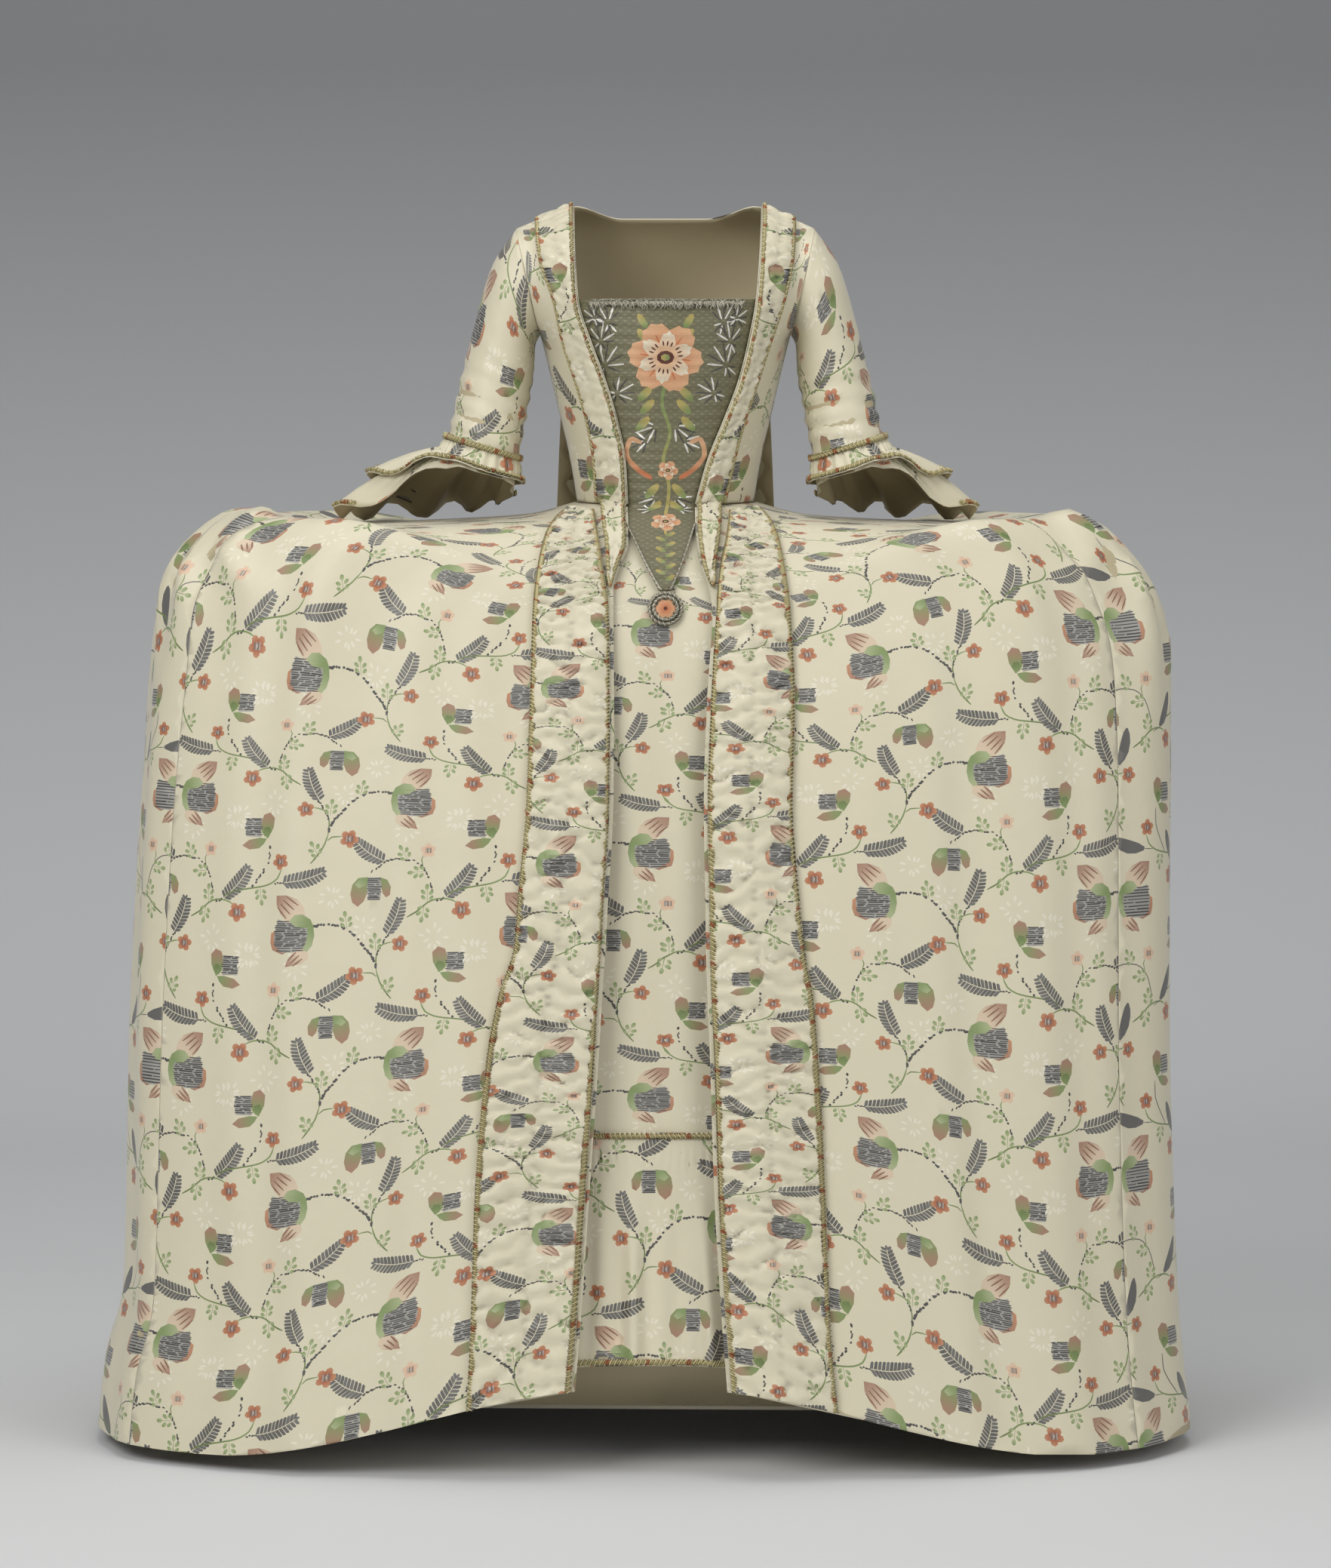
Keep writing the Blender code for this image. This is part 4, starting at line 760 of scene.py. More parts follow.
# A closed wall of cloth: a patterned face, a plainer lining face and the edge between them.
def woven(name, surface, border, nodes, sign=1, relief=None, step=0.011, thickness=0.0011,
          origin=(0.0, 0.0),
          mirror=False, keep=None, pieces=None, ground=None, materials=None, plain=False,
          gather=1.0,
          linedWith="lining", under=None):
    border = np.array(border, float)
    if pieces is None:
        pieces = patternOver(border, origin, mirror, keep, plain, gather)
    ground = silk["cream"] if ground is None else ground
    corners, triangles, owners, _ = triangulate(border, pieces, step)
    used, index = np.unique(triangles, return_inverse=True)
    corners, triangles = corners[used], index.reshape(-1, 3)
    u, v = corners[:, 0], corners[:, 1]
    normal = normalsOf(surface, u, v, sign)
    lift = relief(u, v) if relief else np.zeros(len(u))
    outer = surface(u, v) + normal * lift[:, None]
    facing = np.cross(outer[triangles[:, 1]] - outer[triangles[:, 0]],
                      outer[triangles[:, 2]] - outer[triangles[:, 0]])
    flipped = (facing * normal[triangles[:, 0]]).sum() < 0
    loop = borderLoop(triangles)
    innerCorners, innerTriangles, _, sources = triangulate(corners[loop], [],
                                                           tuple(1.5 * size for size in step)
                                                           if isinstance(step, tuple) else 1.5 * step)
    innerUsed = np.unique(innerTriangles)
    iu, iv = innerCorners[:, 0], innerCorners[:, 1]
    innerRelief = under or relief
    innerLift = (innerRelief(iu, iv) if innerRelief else np.zeros(len(iu))) - thickness
    inner = surface(iu, iv) + normalsOf(surface, iu, iv, sign) * innerLift[:, None]
    shift = len(outer)
    partner = {}
    for i, ids in enumerate(sources):
        for k in ids:
            if k < len(loop):
                partner[k] = shift + i
    rim = []
    for k in range(len(loop)):
        m = (k + 1) % len(loop)
        a, b, c, d = loop[k], loop[m], partner[m], partner[k]
        rim += [(b, a, d), (b, d, c)]
    inside = innerTriangles[:, ::-1] + shift
    everything = np.concatenate([triangles, inside, np.array(rim)])
    if flipped:
        everything = everything[:, ::-1]
    points = np.concatenate([outer, inner])
    kept = np.unique(everything)
    remap = np.full(len(points), -1)
    remap[kept] = np.arange(len(kept))
    flat = np.concatenate([corners, innerCorners])[kept]
    facePaint = paintOf(corners, triangles, owners, pieces, ground)
    # Painted shade: with under given, each corner's colour is darkened in the creases between the puffs, down to 0.6
    # where the cloth lies on under.
    if under:
        stands = lift - under(u, v)
        paintedCreaseShade = 0.60 + 0.40 * smooth(0, 0.5, stands / stands.max())
        facePaint[..., :3] *= paintedCreaseShade[triangles][..., None]
    if flipped:
        facePaint = facePaint[:, ::-1]
    plain = np.ones((len(everything) - len(triangles), 3, 4)) * [*silk[linedWith], 0.0]
    paint = np.concatenate([facePaint, plain])
    slots = np.concatenate([np.zeros(len(triangles)), np.ones(len(everything) - len(triangles))])
    slots[-len(rim):] = 0
    paint[-len(rim):] = [*ground, 0.0]
    made = addMesh(name, points[kept], remap[everything], flat, paint, materials or (brocade, lining),
                   slots)
    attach(made, "root")
    if nodes:
        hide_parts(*nodes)
    print(name, len(made.data.polygons), "triangles")
    return made


# A border from two edges that run the same way, down one and up the other.
def sideBySide(first, second):
    return np.concatenate([np.array(first), np.array(second)[::-1]])


# The gown's skirt

gown = {"places": np.linspace(0.05, 12, 90), "origin": {1: (0.150, 0.028), -1: (0.025, 0.060)}}


def skirtFlat(u, v):
    return skirtSurface(*skirtAt(u, v))


def frontEdge(side, column, places):
    height = ring["frontHeight"](places)
    angle = angleAt(places, side, skirtEdges[side][column](height))
    return np.stack([acrossAt(angle), downAt(places)], -1)


def seamEdge(side, places, turn):
    return np.stack([acrossAt(side * (seamAngle(places, side) + turn)), downAt(places)], -1)


def backEdge(side, places):
    height = ring["backHeight"](places)
    x = np.minimum(sack["half"](height) - skirt["underSack"], ring["leftHalf"](places) * 0.8)
    angle = side * (180 - np.abs(angleAt(places, 1, x)))
    return np.stack([acrossAt(angle), downAt(places)], -1)


sack = curvesOf(
    "height half behind bow pleat",
    [
        (1.297, 0.094, 0.0680, 0.010, 0.0016),
        (1.270, 0.102, 0.0950, 0.014, 0.0020),
        (1.240, 0.105, 0.1060, 0.015, 0.0026),
        (1.200, 0.108, 0.1120, 0.014, 0.0034),
        (1.150, 0.111, 0.1190, 0.012, 0.0045),
        (1.100, 0.113, 0.1310, 0.010, 0.0055),
        (1.040, 0.116, 0.1490, 0.008, 0.0065),
        (0.980, 0.119, 0.1740, 0.006, 0.0080),
        (0.920, 0.128, 0.2060, 0.004, 0.0095),
        (0.860, 0.140, 0.2260, 0.003, 0.0110),
        (0.780, 0.156, 0.2420, 0.003, 0.0130),
        (0.650, 0.178, 0.2620, 0.003, 0.0160),
        (0.500, 0.202, 0.2830, 0.003, 0.0190),
        (0.330, 0.228, 0.3050, 0.003, 0.0220),
        (0.170, 0.254, 0.3240, 0.003, 0.0250),
        (0.012, 0.282, 0.3470, 0.003, 0.0280),
    ],
)
pleatSteps = [(0.07, 0.11, 0.79, 0.83), (0.20, 0.25, 0.65, 0.70)]
sackHeights = np.linspace(1.297, 0.012, 400)


def sackSurface(height, x):
    half = sack["half"](height)
    u = np.abs(x) / half
    relief = sum(smooth(rise, top, u) * (1 - smooth(end, foot, u)) for rise, top, end, foot in pleatSteps)
    behind = sack["behind"](height)
    y = behind - sack["bow"](height) * u**2 + sack["pleat"](height) * relief
    low = 1 - smooth(0.84, 0.90, height)
    reach = np.clip(1 - (np.abs(x) / ring["leftHalf"](placeAtHeight("backHeight", height))) ** 2.8, 0,
                    1) ** (1 / 2.8)
    y = y - low * behind * (1 - reach)
    return np.stack([x, y, height - shoulderHeight], -1)


sackLengths = np.concatenate([[0],
                              np.cumsum(np.linalg.norm(np.diff(sackSurface(sackHeights, 0 * sackHeights),
                                                               axis=0), axis=1))])


def sackFlat(u, v):
    return sackSurface(np.interp(v, sackLengths, sackHeights), u)


def makeSkirt():
    places = gown["places"]
    for side, word in sideWords.items():
        inner, outer = (frontEdge(side, c, refPlaces) for c in ("inner", "outer"))

        def seen(spot):
            low, high = (np.interp(spot[1], edge[:, 1], np.abs(edge[:, 0])) for edge in (inner, outer))
            return not low + 0.012 < abs(spot[0]) < high - 0.012

        border = sideBySide(frontEdge(side, "edge", places), seamEdge(side, places, -skirt["seamTurn"]))
        woven(f"gownFront_{word}", skirtFlat, border, [f"robe_front_{word}"], relief=skirtRelief,
              origin=gown["origin"][side], keep=seen)
        border = sideBySide(seamEdge(side, places, skirt["seamTurn"]), backEdge(side, places))
        woven(f"gownSide_{word}", skirtFlat, border, [f"robe_side_{word}"], relief=skirtRelief,
              origin=gown["origin"][side],
              mirror=True, plain=True, step=0.014)
    lengths = np.linspace(0, sackLengths[-1], 110)
    half = sack["half"](np.interp(lengths, sackLengths, sackHeights))
    border = sideBySide(np.stack([-half, lengths], -1), np.stack([half, lengths], -1))
    woven("sackBack", sackFlat, border, ["sack_back"], sign=-1, origin=(0.118, 0.02), step=0.013,
          plain=True)


makeSkirt()


# A surface through a grid of points, with flat coordinates in metres measured along its rows and
# columns.
def sheetOf(points):
    points = np.array(points, float)
    down = np.linalg.norm(np.diff(points, axis=0), axis=2).mean(axis=1)
    across = np.linalg.norm(np.diff(points, axis=1), axis=2).mean(axis=0)
    vs, us = (np.concatenate([[0], np.cumsum(steps)]) for steps in (down, across))

    def at(u, v):
        r = np.interp(v, vs, np.arange(len(vs)))
        c = np.interp(u, us, np.arange(len(us)))
        i, j = (np.minimum(k.astype(int), size - 2) for k, size in ((r, len(vs)), (c, len(us))))
        s, t = (r - i)[:, None], (c - j)[:, None]
        near = points[i, j] * (1 - s) + points[i + 1, j] * s
        far = points[i, j + 1] * (1 - s) + points[i + 1, j + 1] * s
        return near * (1 - t) + far * t

    at.width, at.length = us[-1], vs[-1]
    return at


# The border of an oblong of flat cloth, with points a step apart.
def oblong(width, length, step=0.007):
    us, vs = np.linspace(0, width, max(2, int(width / step))), np.linspace(0, length,
                                                                           max(2, int(length / step)))
    edges = [(u, 0) for u in us[:-1]] + [(width, v) for v in vs[:-1]]
    edges += [(u, length) for u in us[:0:-1]] + [(0, v) for v in vs[:0:-1]]
    return np.array(edges)


# The petticoat and the flounce on its front

petticoat = {"lift": -0.0070, "hemLift": -0.034, "last": 11.4, "backLift": -0.0021,
             "pattern": (0.034, 0.118)}


def petticoatLift(place):
    return petticoat["lift"] + (petticoat["hemLift"] - petticoat["lift"]) * smooth(5.5, 11, place)


def petticoatRelief(u, v):
    place, _ = skirtAt(u, v)
    return petticoatLift(place) - 0.0012 * smooth(4, 7,
                                                  place) * (1 + np.sin(2 * math.pi * u / 0.052 + 1.1
                                                                       + np.sin(2.2 * v)))


def backRelief(u, v):
    place, _ = skirtAt(u, v)
    return petticoatLift(place) + petticoat["backLift"] - 0.001


frontFlounce = {"top": 0.357, "stitch": 0.329, "low": 0.119, "start": -0.112, "end": 0.100, "lift": 0.0024}
flounceRows = np.linspace(frontFlounce["top"], frontFlounce["low"], 60)


def frontFlounceGrid():
    rows = []
    for height in flounceRows:
        place = float(placeAtHeight("frontHeight", height))
        xs = np.linspace(frontFlounce["start"], frontFlounce["end"], 41)
        angles = np.array([angleAt(place, 1 if x >= 0 else -1, x) for x in xs])
        u, v = acrossAt(angles), downAt(place) + 0 * xs
        normal = normalsOf(skirtFlat, u, v, 1)
        lift = petticoatLift(place) + frontFlounce["lift"]
        rows.append(skirtFlat(u, v) + normal * lift)
    return rows


def frontFlounceRelief(u, v):
    x = u + frontFlounce["start"]
    drop = np.clip((v - 0.028) / 0.215, 0, 1)
    soft = 0.5 + 0.5 * np.cos(2 * math.pi * x / 0.030 + 0.9)
    deep = np.exp(-(((x - 0.036 - 0.010 * drop) / 0.009) ** 2)) + 0.7 * np.exp(-(((x
                                                                                   + 0.034) / 0.010) ** 2))
    pinch = 0.0011 * np.exp(-(((v - 0.028) / 0.012) ** 2)) * np.sin(2 * math.pi * x / 0.0085)
    return (0.0035 * soft + 0.0100 * deep) * smooth(0.0, 0.6, drop) + pinch


def makePetticoat():
    top, low = downAt(2.5), downAt(placeAtHeight("frontHeight", frontFlounce["stitch"] - 0.01))

    def seen(spot):
        return abs(spot[0]) < 0.115 and top < spot[1] < low

    places = np.linspace(0.02, petticoat["last"], 70)
    edges = [np.stack([acrossAt(a + 0 * places), downAt(places)], -1)
             for a in (-63.0, 57.0, 57.05, 179.9, -63.05, -179.9)]
    woven("petticoatFront", skirtFlat, sideBySide(edges[0], edges[1]), ["petticoat_front"],
          relief=petticoatRelief,
          origin=petticoat["pattern"], keep=seen)
    woven("petticoatBack_left", skirtFlat, sideBySide(edges[2], edges[3]), ["petticoat_back"],
          relief=backRelief, pieces=[], step=0.02)
    woven("petticoatBack_right", skirtFlat, sideBySide(edges[4], edges[5]), [], relief=backRelief,
          pieces=[], step=0.02)
    flat = sheetOf(frontFlounceGrid())
    border = oblong(flat.width, flat.length, 0.004)
    woven("petticoatFlounce", flat, border, ["petticoat_flounce"], relief=frontFlounceRelief,
          step=(0.0035, 0.009),
          origin=(-0.01, -0.125), thickness=0.0009)
    return flat


frontFlounceFlat = makePetticoat()


# Ruching

ruche = {"pitch": 0.0235, "height": 0.0062, "gather": 1.28, "lift": 0.0034}


# Puffs between sharp creases across a strip, broken along its gathering line. s runs over its
# width.
def rucheRelief(s, v, height, pitch=None, start=0.0):
    pitch = pitch or ruche["pitch"]
    half = np.where(s > 0.5, 0.43, 0.0)
    wander = 0.30 * np.sin(5.1 * s + 31 * v + start) + 0.22 * np.sin(9.7 * s - 57 * v + 2
                                                                     * start) + 0.12 * np.sin(21 * s
                                                                                              + 140 * v)
    phase = v / pitch + half * smooth(0.47, 0.53, s) + wander
    puff = np.abs(np.sin(math.pi * phase)) ** 0.55
    fine = np.abs(np.sin(math.pi * (2.35 * phase + 1.3 * s + start))) ** 0.7
    line = 1 - 0.62 * np.exp(-(((s - 0.5) / 0.035) ** 2))
    edge = 0.35 + 0.65 * smooth(0, 0.12, s) * (1 - smooth(0.88, 1, s))
    return height * (0.72 * puff + 0.28 * fine) * line * edge


def makeSkirtRobings():
    places = np.linspace(0.62, 12, 300)
    for side, word in sideWords.items():
        inner, outer = frontEdge(side, "inner", places), frontEdge(side, "outer", places)

        def relief(u, v, inner=inner, outer=outer, side=side):
            low, high = np.interp(v, inner[:, 1], inner[:, 0]), np.interp(v, outer[:, 1], outer[:, 0])
            s = np.clip((u - low) / (high - low), 0, 1)
            return skirtRelief(u, v) + ruche["lift"] + rucheRelief(s, v, ruche["height"], start=1.7 * side)

        # The under surface is the cloth below the puffs. The inner face follows it, and woven paints shade into the
        # creases from it.
        woven(f"skirtRobing_{word}", skirtFlat, sideBySide(inner, outer), [f"skirt_robing_{word}"],
              relief=relief,
              under=lambda u, v: skirtRelief(u, v) + ruche["lift"],
              step=(0.0066, 0.0043), origin=(0.06 * side, 0.07 + 0.05 * side), gather=ruche["gather"])
        for edge, near, far in (("inner", inner, outer), ("outer", outer, inner)):
            beside = near + (far - near) * 0.1
            gimp(f"skirtRobingBraid_{word}_{edge}", skirtFlat, near, beside, skirtRelief,
                 ruche["lift"] + 0.0012,
                 [f"skirt_robing_{word}_braid_{edge}"])


# Braid: two looped strands and a straight cord, laid along a line of the cloth

gimpShape = {"width": 0.0070, "pitch": 0.0072, "thread": 0.00115, "rise": 0.0012}


# Closed tubes along paths, each with a colour for every point.
def threadMesh(paths, normals, colours, radius, sides=4):
    points, triangles, paint, flat = [], [], [], []
    for path, normal, colour in zip(paths, normals, colours):
        way = np.gradient(path, axis=0)
        way /= np.maximum(np.linalg.norm(way, axis=1), 1e-9)[:, None]
        side = np.cross(way, normal)
        side /= np.maximum(np.linalg.norm(side, axis=1), 1e-9)[:, None]
        up = np.cross(side, way)
        start, count = sum(len(p) for p in points), len(path)
        turns = [2 * math.pi * k / sides for k in range(sides)]
        rings = np.stack([path + radius * (math.cos(t) * side + math.sin(t) * up) for t in turns], axis=1)
        points.append(rings.reshape(-1, 3))
        i = np.arange(count - 1)
        for k in range(sides):
            m = (k + 1) % sides
            a, b = start + i * sides + k, start + i * sides + m
            c, d = b + sides, a + sides
            triangles += [np.stack([a, b, c], -1), np.stack([a, c, d], -1)]
            paint += [np.stack([colour[:-1], colour[:-1], colour[1:]], 1),
                      np.stack([colour[:-1], colour[1:], colour[1:]], 1)]
        end = start + (count - 1) * sides
        caps = [(start, start + k + 1, start + k) for k in range(1, sides - 1)]
        caps += [(end, end + k, end + k + 1) for k in range(1, sides - 1)]
        triangles.append(np.array(caps))
        paint.append(np.repeat(np.repeat(colour[:1], len(caps), 0)[:, None], 3, axis=1))
        lengths = np.concatenate([[0], np.cumsum(np.linalg.norm(np.diff(path, axis=0), axis=1))])
        flat.append(np.stack([np.repeat(lengths, sides), np.tile(np.arange(sides) * radius, count)], -1))
    return np.concatenate(points), np.concatenate(triangles), np.concatenate(paint), np.concatenate(flat)


braidCloth = clothMaterial("braid", ribPitch=0.0007, roughness=0.45, sheen=0.1, bump=0.8, toneAndShade=(0.75, 1.15))
metalLace = clothMaterial("metalLace", ribPitch=0.0005, roughness=0.38, sheen=0.0, bump=0.8,
                          toneAndShade=(0.75, 1.2))
braidColours = {
    "gold": colourOf("#d3c798"),
    "olive": colourOf("#b3a673"),
    "spot": colourOf("#a9683f"),
    "silver": colourOf("#cdc7b3"),
    "darkSilver": colourOf("#a29c88"),
}


def evenly(line, step):
    lengths = np.concatenate([[0], np.cumsum(np.linalg.norm(np.diff(line, axis=0), axis=1))])
    at = np.linspace(0, lengths[-1], max(4, int(lengths[-1] / step)))
    return np.stack([np.interp(at, lengths, line[:, k]) for k in range(line.shape[1])], -1), at


# A looped braid along a line in flat coordinates, its width reaching towards the points beside it.
def gimp(name, surface, line, beside, relief, lift, nodes, sign=1, kind="gold",
         material=None, width=None):
    line, beside = np.array(line, float), np.array(beside, float)
    pitch, width = gimpShape["pitch"], width or gimpShape["width"]
    both, at = evenly(np.concatenate([line, beside], 1), pitch / 5)
    here, far = both[:, :2], both[:, 2:]
    u, v = here[:, 0], here[:, 1]
    normal = normalsOf(surface, u, v, sign)
    rise = (relief(u, v) if relief else 0) + lift
    foot = surface(u, v) + normal * np.reshape(rise, (-1, 1))
    across = surface(far[:, 0], far[:, 1]) - surface(u, v)
    across /= np.maximum(np.linalg.norm(across, axis=1), 1e-9)[:, None]
    paths, normals, colours = [], [], []
    dark = "olive" if kind == "gold" else "darkSilver"
    for start in (0.0, math.pi):
        turn = 2 * math.pi * at / pitch + start
        out = width / 2 * (1 + 0.92 * np.sin(turn))
        high = gimpShape["rise"] + 0.0006 * np.cos(turn)
        along = np.gradient(foot, axis=0)
        along /= np.maximum(np.linalg.norm(along, axis=1), 1e-9)[:, None]
        bow = along * (0.32 * pitch * np.sin(2 * turn) / 2)[:, None]
        paths.append(foot + across * out[:, None] + normal * high[:, None] + bow)
        normals.append(normal)
        spot = (np.floor(at / 0.020) % 3 == 0) & (np.abs((at / 0.020) % 1 - 0.5) < 0.16) if kind == "gold" else at < -1
        colour = np.where(spot[:, None], braidColours["spot"], braidColours[kind if start else dark])
        colours.append(np.concatenate([colour, np.full((len(at), 1), 0.2)], 1))
    paths.append(foot + across * (width * 0.5) + normal * (gimpShape["rise"] * 0.6))
    normals.append(normal)
    colours.append(np.concatenate([np.tile(braidColours[dark], (len(at), 1)), np.full((len(at), 1), 0.2)],
                                  1))
    points, triangles, paint, flat = threadMesh(paths, normals, colours, gimpShape["thread"], 3)
    made = addMesh(name, points, triangles, flat, paint, (material or braidCloth,))
    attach(made, "root")
    if nodes:
        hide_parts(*nodes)
    print(name, len(triangles), "triangles")
    return made


makeSkirtRobings()
edgeTop = np.array([(u, 0.0) for u in np.linspace(0.001, frontFlounceFlat.width - 0.001, 60)])
edgeLow = edgeTop + [0, frontFlounceFlat.length - 0.0005]
gimp("flounceBraidTop", frontFlounceFlat, edgeTop, edgeTop + [0, 0.01], frontFlounceRelief, 0.0006,
     ["flounce_braid_top"])
gimp("flounceBraidLow", frontFlounceFlat, edgeLow, edgeLow - [0, 0.01], frontFlounceRelief, 0.0006,
     ["flounce_braid_low"])


# The bodice

torso = curvesOf(
    "height half front back",
    [
        (1.000, 0.094, 0.112, 0.086),
        (1.050, 0.102, 0.114, 0.090),
        (1.100, 0.113, 0.117, 0.097),
        (1.150, 0.124, 0.121, 0.103),
        (1.180, 0.132, 0.122, 0.105),
        (1.210, 0.146, 0.118, 0.104),
        (1.240, 0.158, 0.104, 0.098),
        (1.260, 0.166, 0.090, 0.090),
        (1.280, 0.174, 0.068, 0.078),
        (1.300, 0.182, 0.030, 0.055),
        (1.313, 0.188, -0.010, 0.010),
        (1.345, 0.200, -0.010, 0.010),
    ],
)
sleeve = curvesOf(
    "place outerX outerHeight innerX innerHeight centreY halfDepth",
    [
        (0, 0.158, 1.2890, 0.1330, 1.176, 0.006, 0.0560),
        (1, 0.183, 1.2520, 0.1380, 1.165, 0.003, 0.0540),
        (2, 0.206, 1.1750, 0.1395, 1.138, 0.000, 0.0480),
        (3, 0.219, 1.1210, 0.1460, 1.100, -0.006, 0.0440),
        (4, 0.229, 1.0750, 0.1540, 1.058, -0.016, 0.0420),
        (5, 0.235, 1.0530, 0.1600, 1.030, -0.024, 0.0410),
    ],
)
bodiceEdges = {
    side: curvesOf("height inner outer", rows)
    for side, rows in {
        -1: [
            (1.000, 0.0395, 0.0705),
            (1.046, 0.0420, 0.0735),
            (1.088, 0.0505, 0.0810),
            (1.130, 0.0630, 0.0930),
            (1.170, 0.0780, 0.1060),
            (1.214, 0.0915, 0.1160),
            (1.256, 0.0945, 0.1310),
            (1.313, 0.0970, 0.1370),
        ],
        1: [
            (1.000, 0.0310, 0.0600),
            (1.046, 0.0440, 0.0700),
            (1.088, 0.0610, 0.0810),
            (1.130, 0.0770, 0.0950),
            (1.170, 0.0870, 0.1080),
            (1.214, 0.0950, 0.1230),
            (1.256, 0.0985, 0.1327),
            (1.313, 0.1020, 0.1370),
        ],
    }.items()
}
tables = {"sleeve": sleeve}
bodice = {"slope": 0.42, "strap": 0.097, "neck": 1.300, "seam": 0.0005, "armpit": 0.5}


def torsoY(x, height, back):
    at = height + max(0.0, abs(x) - bodice["strap"]) * bodice["slope"]
    reach = math.sqrt(max(0.0, 1 - (x / torso["half"](at)) ** 2))
    return torso["back"](at) * reach if back else -torso["front"](at) * reach


# One row of a table's values at a key, kept for the next call.
@cache
def rowAt(table, at):
    return {key: float(curve(at)) for key, curve in tables[table].items()}


def sleeveSpot(place, angle, side):
    value = rowAt("sleeve", place)
    outer = np.array([value["outerX"], 0, value["outerHeight"]])
    inner = np.array([value["innerX"], 0, value["innerHeight"]])
    a = math.radians(angle)
    arm, depth = (outer - inner) / 2, value["halfDepth"]
    point = (outer + inner) / 2 + [0, value["centreY"], 0] + arm * math.cos(a) + [0, depth * math.sin(a), 0]
    reach = np.linalg.norm(arm)
    normal = arm / reach * (math.cos(a) / reach) + [0, math.sin(a) / depth, 0]
    flip = np.array([side, 1, 1])
    return point * flip, normal / np.linalg.norm(normal) * flip


def bodiceSidePoint(share, side, back):
    if share <= bodice["armpit"]:
        armpit = sleeveSpot(0, 180, side)[0]
        height = waistHeight + (armpit[2] - waistHeight) * share / bodice["armpit"]
        toward = float(smooth(0, 1, share / bodice["armpit"]))
        x = torso["half"](height) + (abs(armpit[0]) - torso["half"](armpit[2])) * toward
        return np.array([side * x, armpit[1] * toward, max(height, waistHeight + bodice["seam"])])
    turn = 180 * (share - bodice["armpit"]) / (1 - bodice["armpit"])
    return sleeveSpot(0, 180 - turn if back else 180 + turn, side)[0]


def bodiceFrontRow(share, side, columns):
    height = waistHeight + bodice["seam"] + (shoulderHeight - waistHeight - bodice["seam"]) * share
    inner, outer = (float(bodiceEdges[side][key](height)) for key in ("inner", "outer"))
    slope = (outer - inner) * bodice["slope"] * float(smooth(0.8, 1, share))
    end = bodiceSidePoint(share, side, False)
    fix = end[1] - torsoY(end[0], end[2], False)
    row = []
    for column in columns:
        toward = max(0.0, column - 1)
        x, z = side * outer + (end[0] - side * outer) * toward, height - slope + (end[2] - height
                                                                                  + slope) * toward
        if column <= 1:
            x, z = side * (inner + (outer - inner) * column), height - slope * column
        row.append((x, torsoY(x, z, False) + fix * toward**2 - bodice["seam"], z - shoulderHeight))
    return row


def bodiceBackRow(share, columns):
    row = []
    for column in columns:
        side, u = (1 if column >= 0 else -1), abs(column)
        end = bodiceSidePoint(share, side, True)
        centre = waistHeight + bodice["seam"] + (bodice["neck"] - waistHeight - bodice["seam"]) * share
        z = centre + (end[2] - centre) * u**2
        shoulder = sleeveSpot(0, 0, side)[0][2]
        if u < 0.62:
            top = bodice["neck"] + (shoulderHeight - bodice["neck"]) * float(smooth(0.3, 0.62, u))
        else:
            top = shoulderHeight + (shoulder - shoulderHeight) * (u - 0.62) / 0.38
        z += share**4 * (top - bodice["neck"] - (shoulder - bodice["neck"]) * u**2)
        x = end[0] * u
        fix = end[1] - torsoY(end[0], end[2], True)
        row.append((x, torsoY(x, z, True) + fix * u**4 + bodice["seam"], z - shoulderHeight))
    return row


def makeBodice():
    shares = np.linspace(1, 0, 41)
    for side, word in sideWords.items():
        flat = sheetOf([bodiceFrontRow(t, side, np.linspace(0, 2, 31)) for t in shares])
        woven(f"bodiceFront_{word}", flat, oblong(flat.width, flat.length), [f"bodice_front_{word}"],
              sign=side,
              origin=(0.02, 0.06), mirror=side < 0)
    flat = sheetOf([bodiceBackRow(t, np.linspace(-1, 1, 61)) for t in shares])
    woven("bodiceBack", flat, oblong(flat.width, flat.length), ["bodice_back"], sign=-1,
          origin=(0.02, 0.06), plain=True)


makeBodice()


# The bodice robings, which run over the waist and end in a rounded tail on the skirt

tail = {"start": 0.07, "end": 0.80, "rows": (0.3, 6.2), "lift": 0.0022, "gather": 1.25}
skirtPlaces = [0, 0.5, 1, 1.5, 2, 3, 4, 4.5, 5, 5.5, 6, 6.5, 7, 7.5, 8, 8.6, 9.2, 10, 11, 12]


# Points over the gown's front between its edge and its robing, for a row of the tail.
def tailRow(row, side, shares):
    place = float(np.interp(row, np.arange(len(skirtPlaces)), skirtPlaces))
    edge, inner = (float(np.ravel(frontEdge(side, key, np.array([place]))[0])[0])
                   for key in ("edge", "inner"))
    u = edge + (inner - edge) * shares
    v = downAt(place) + 0 * u
    return (skirtFlat(u, v) + normalsOf(skirtFlat, u, v, 1) * 0.001).tolist()


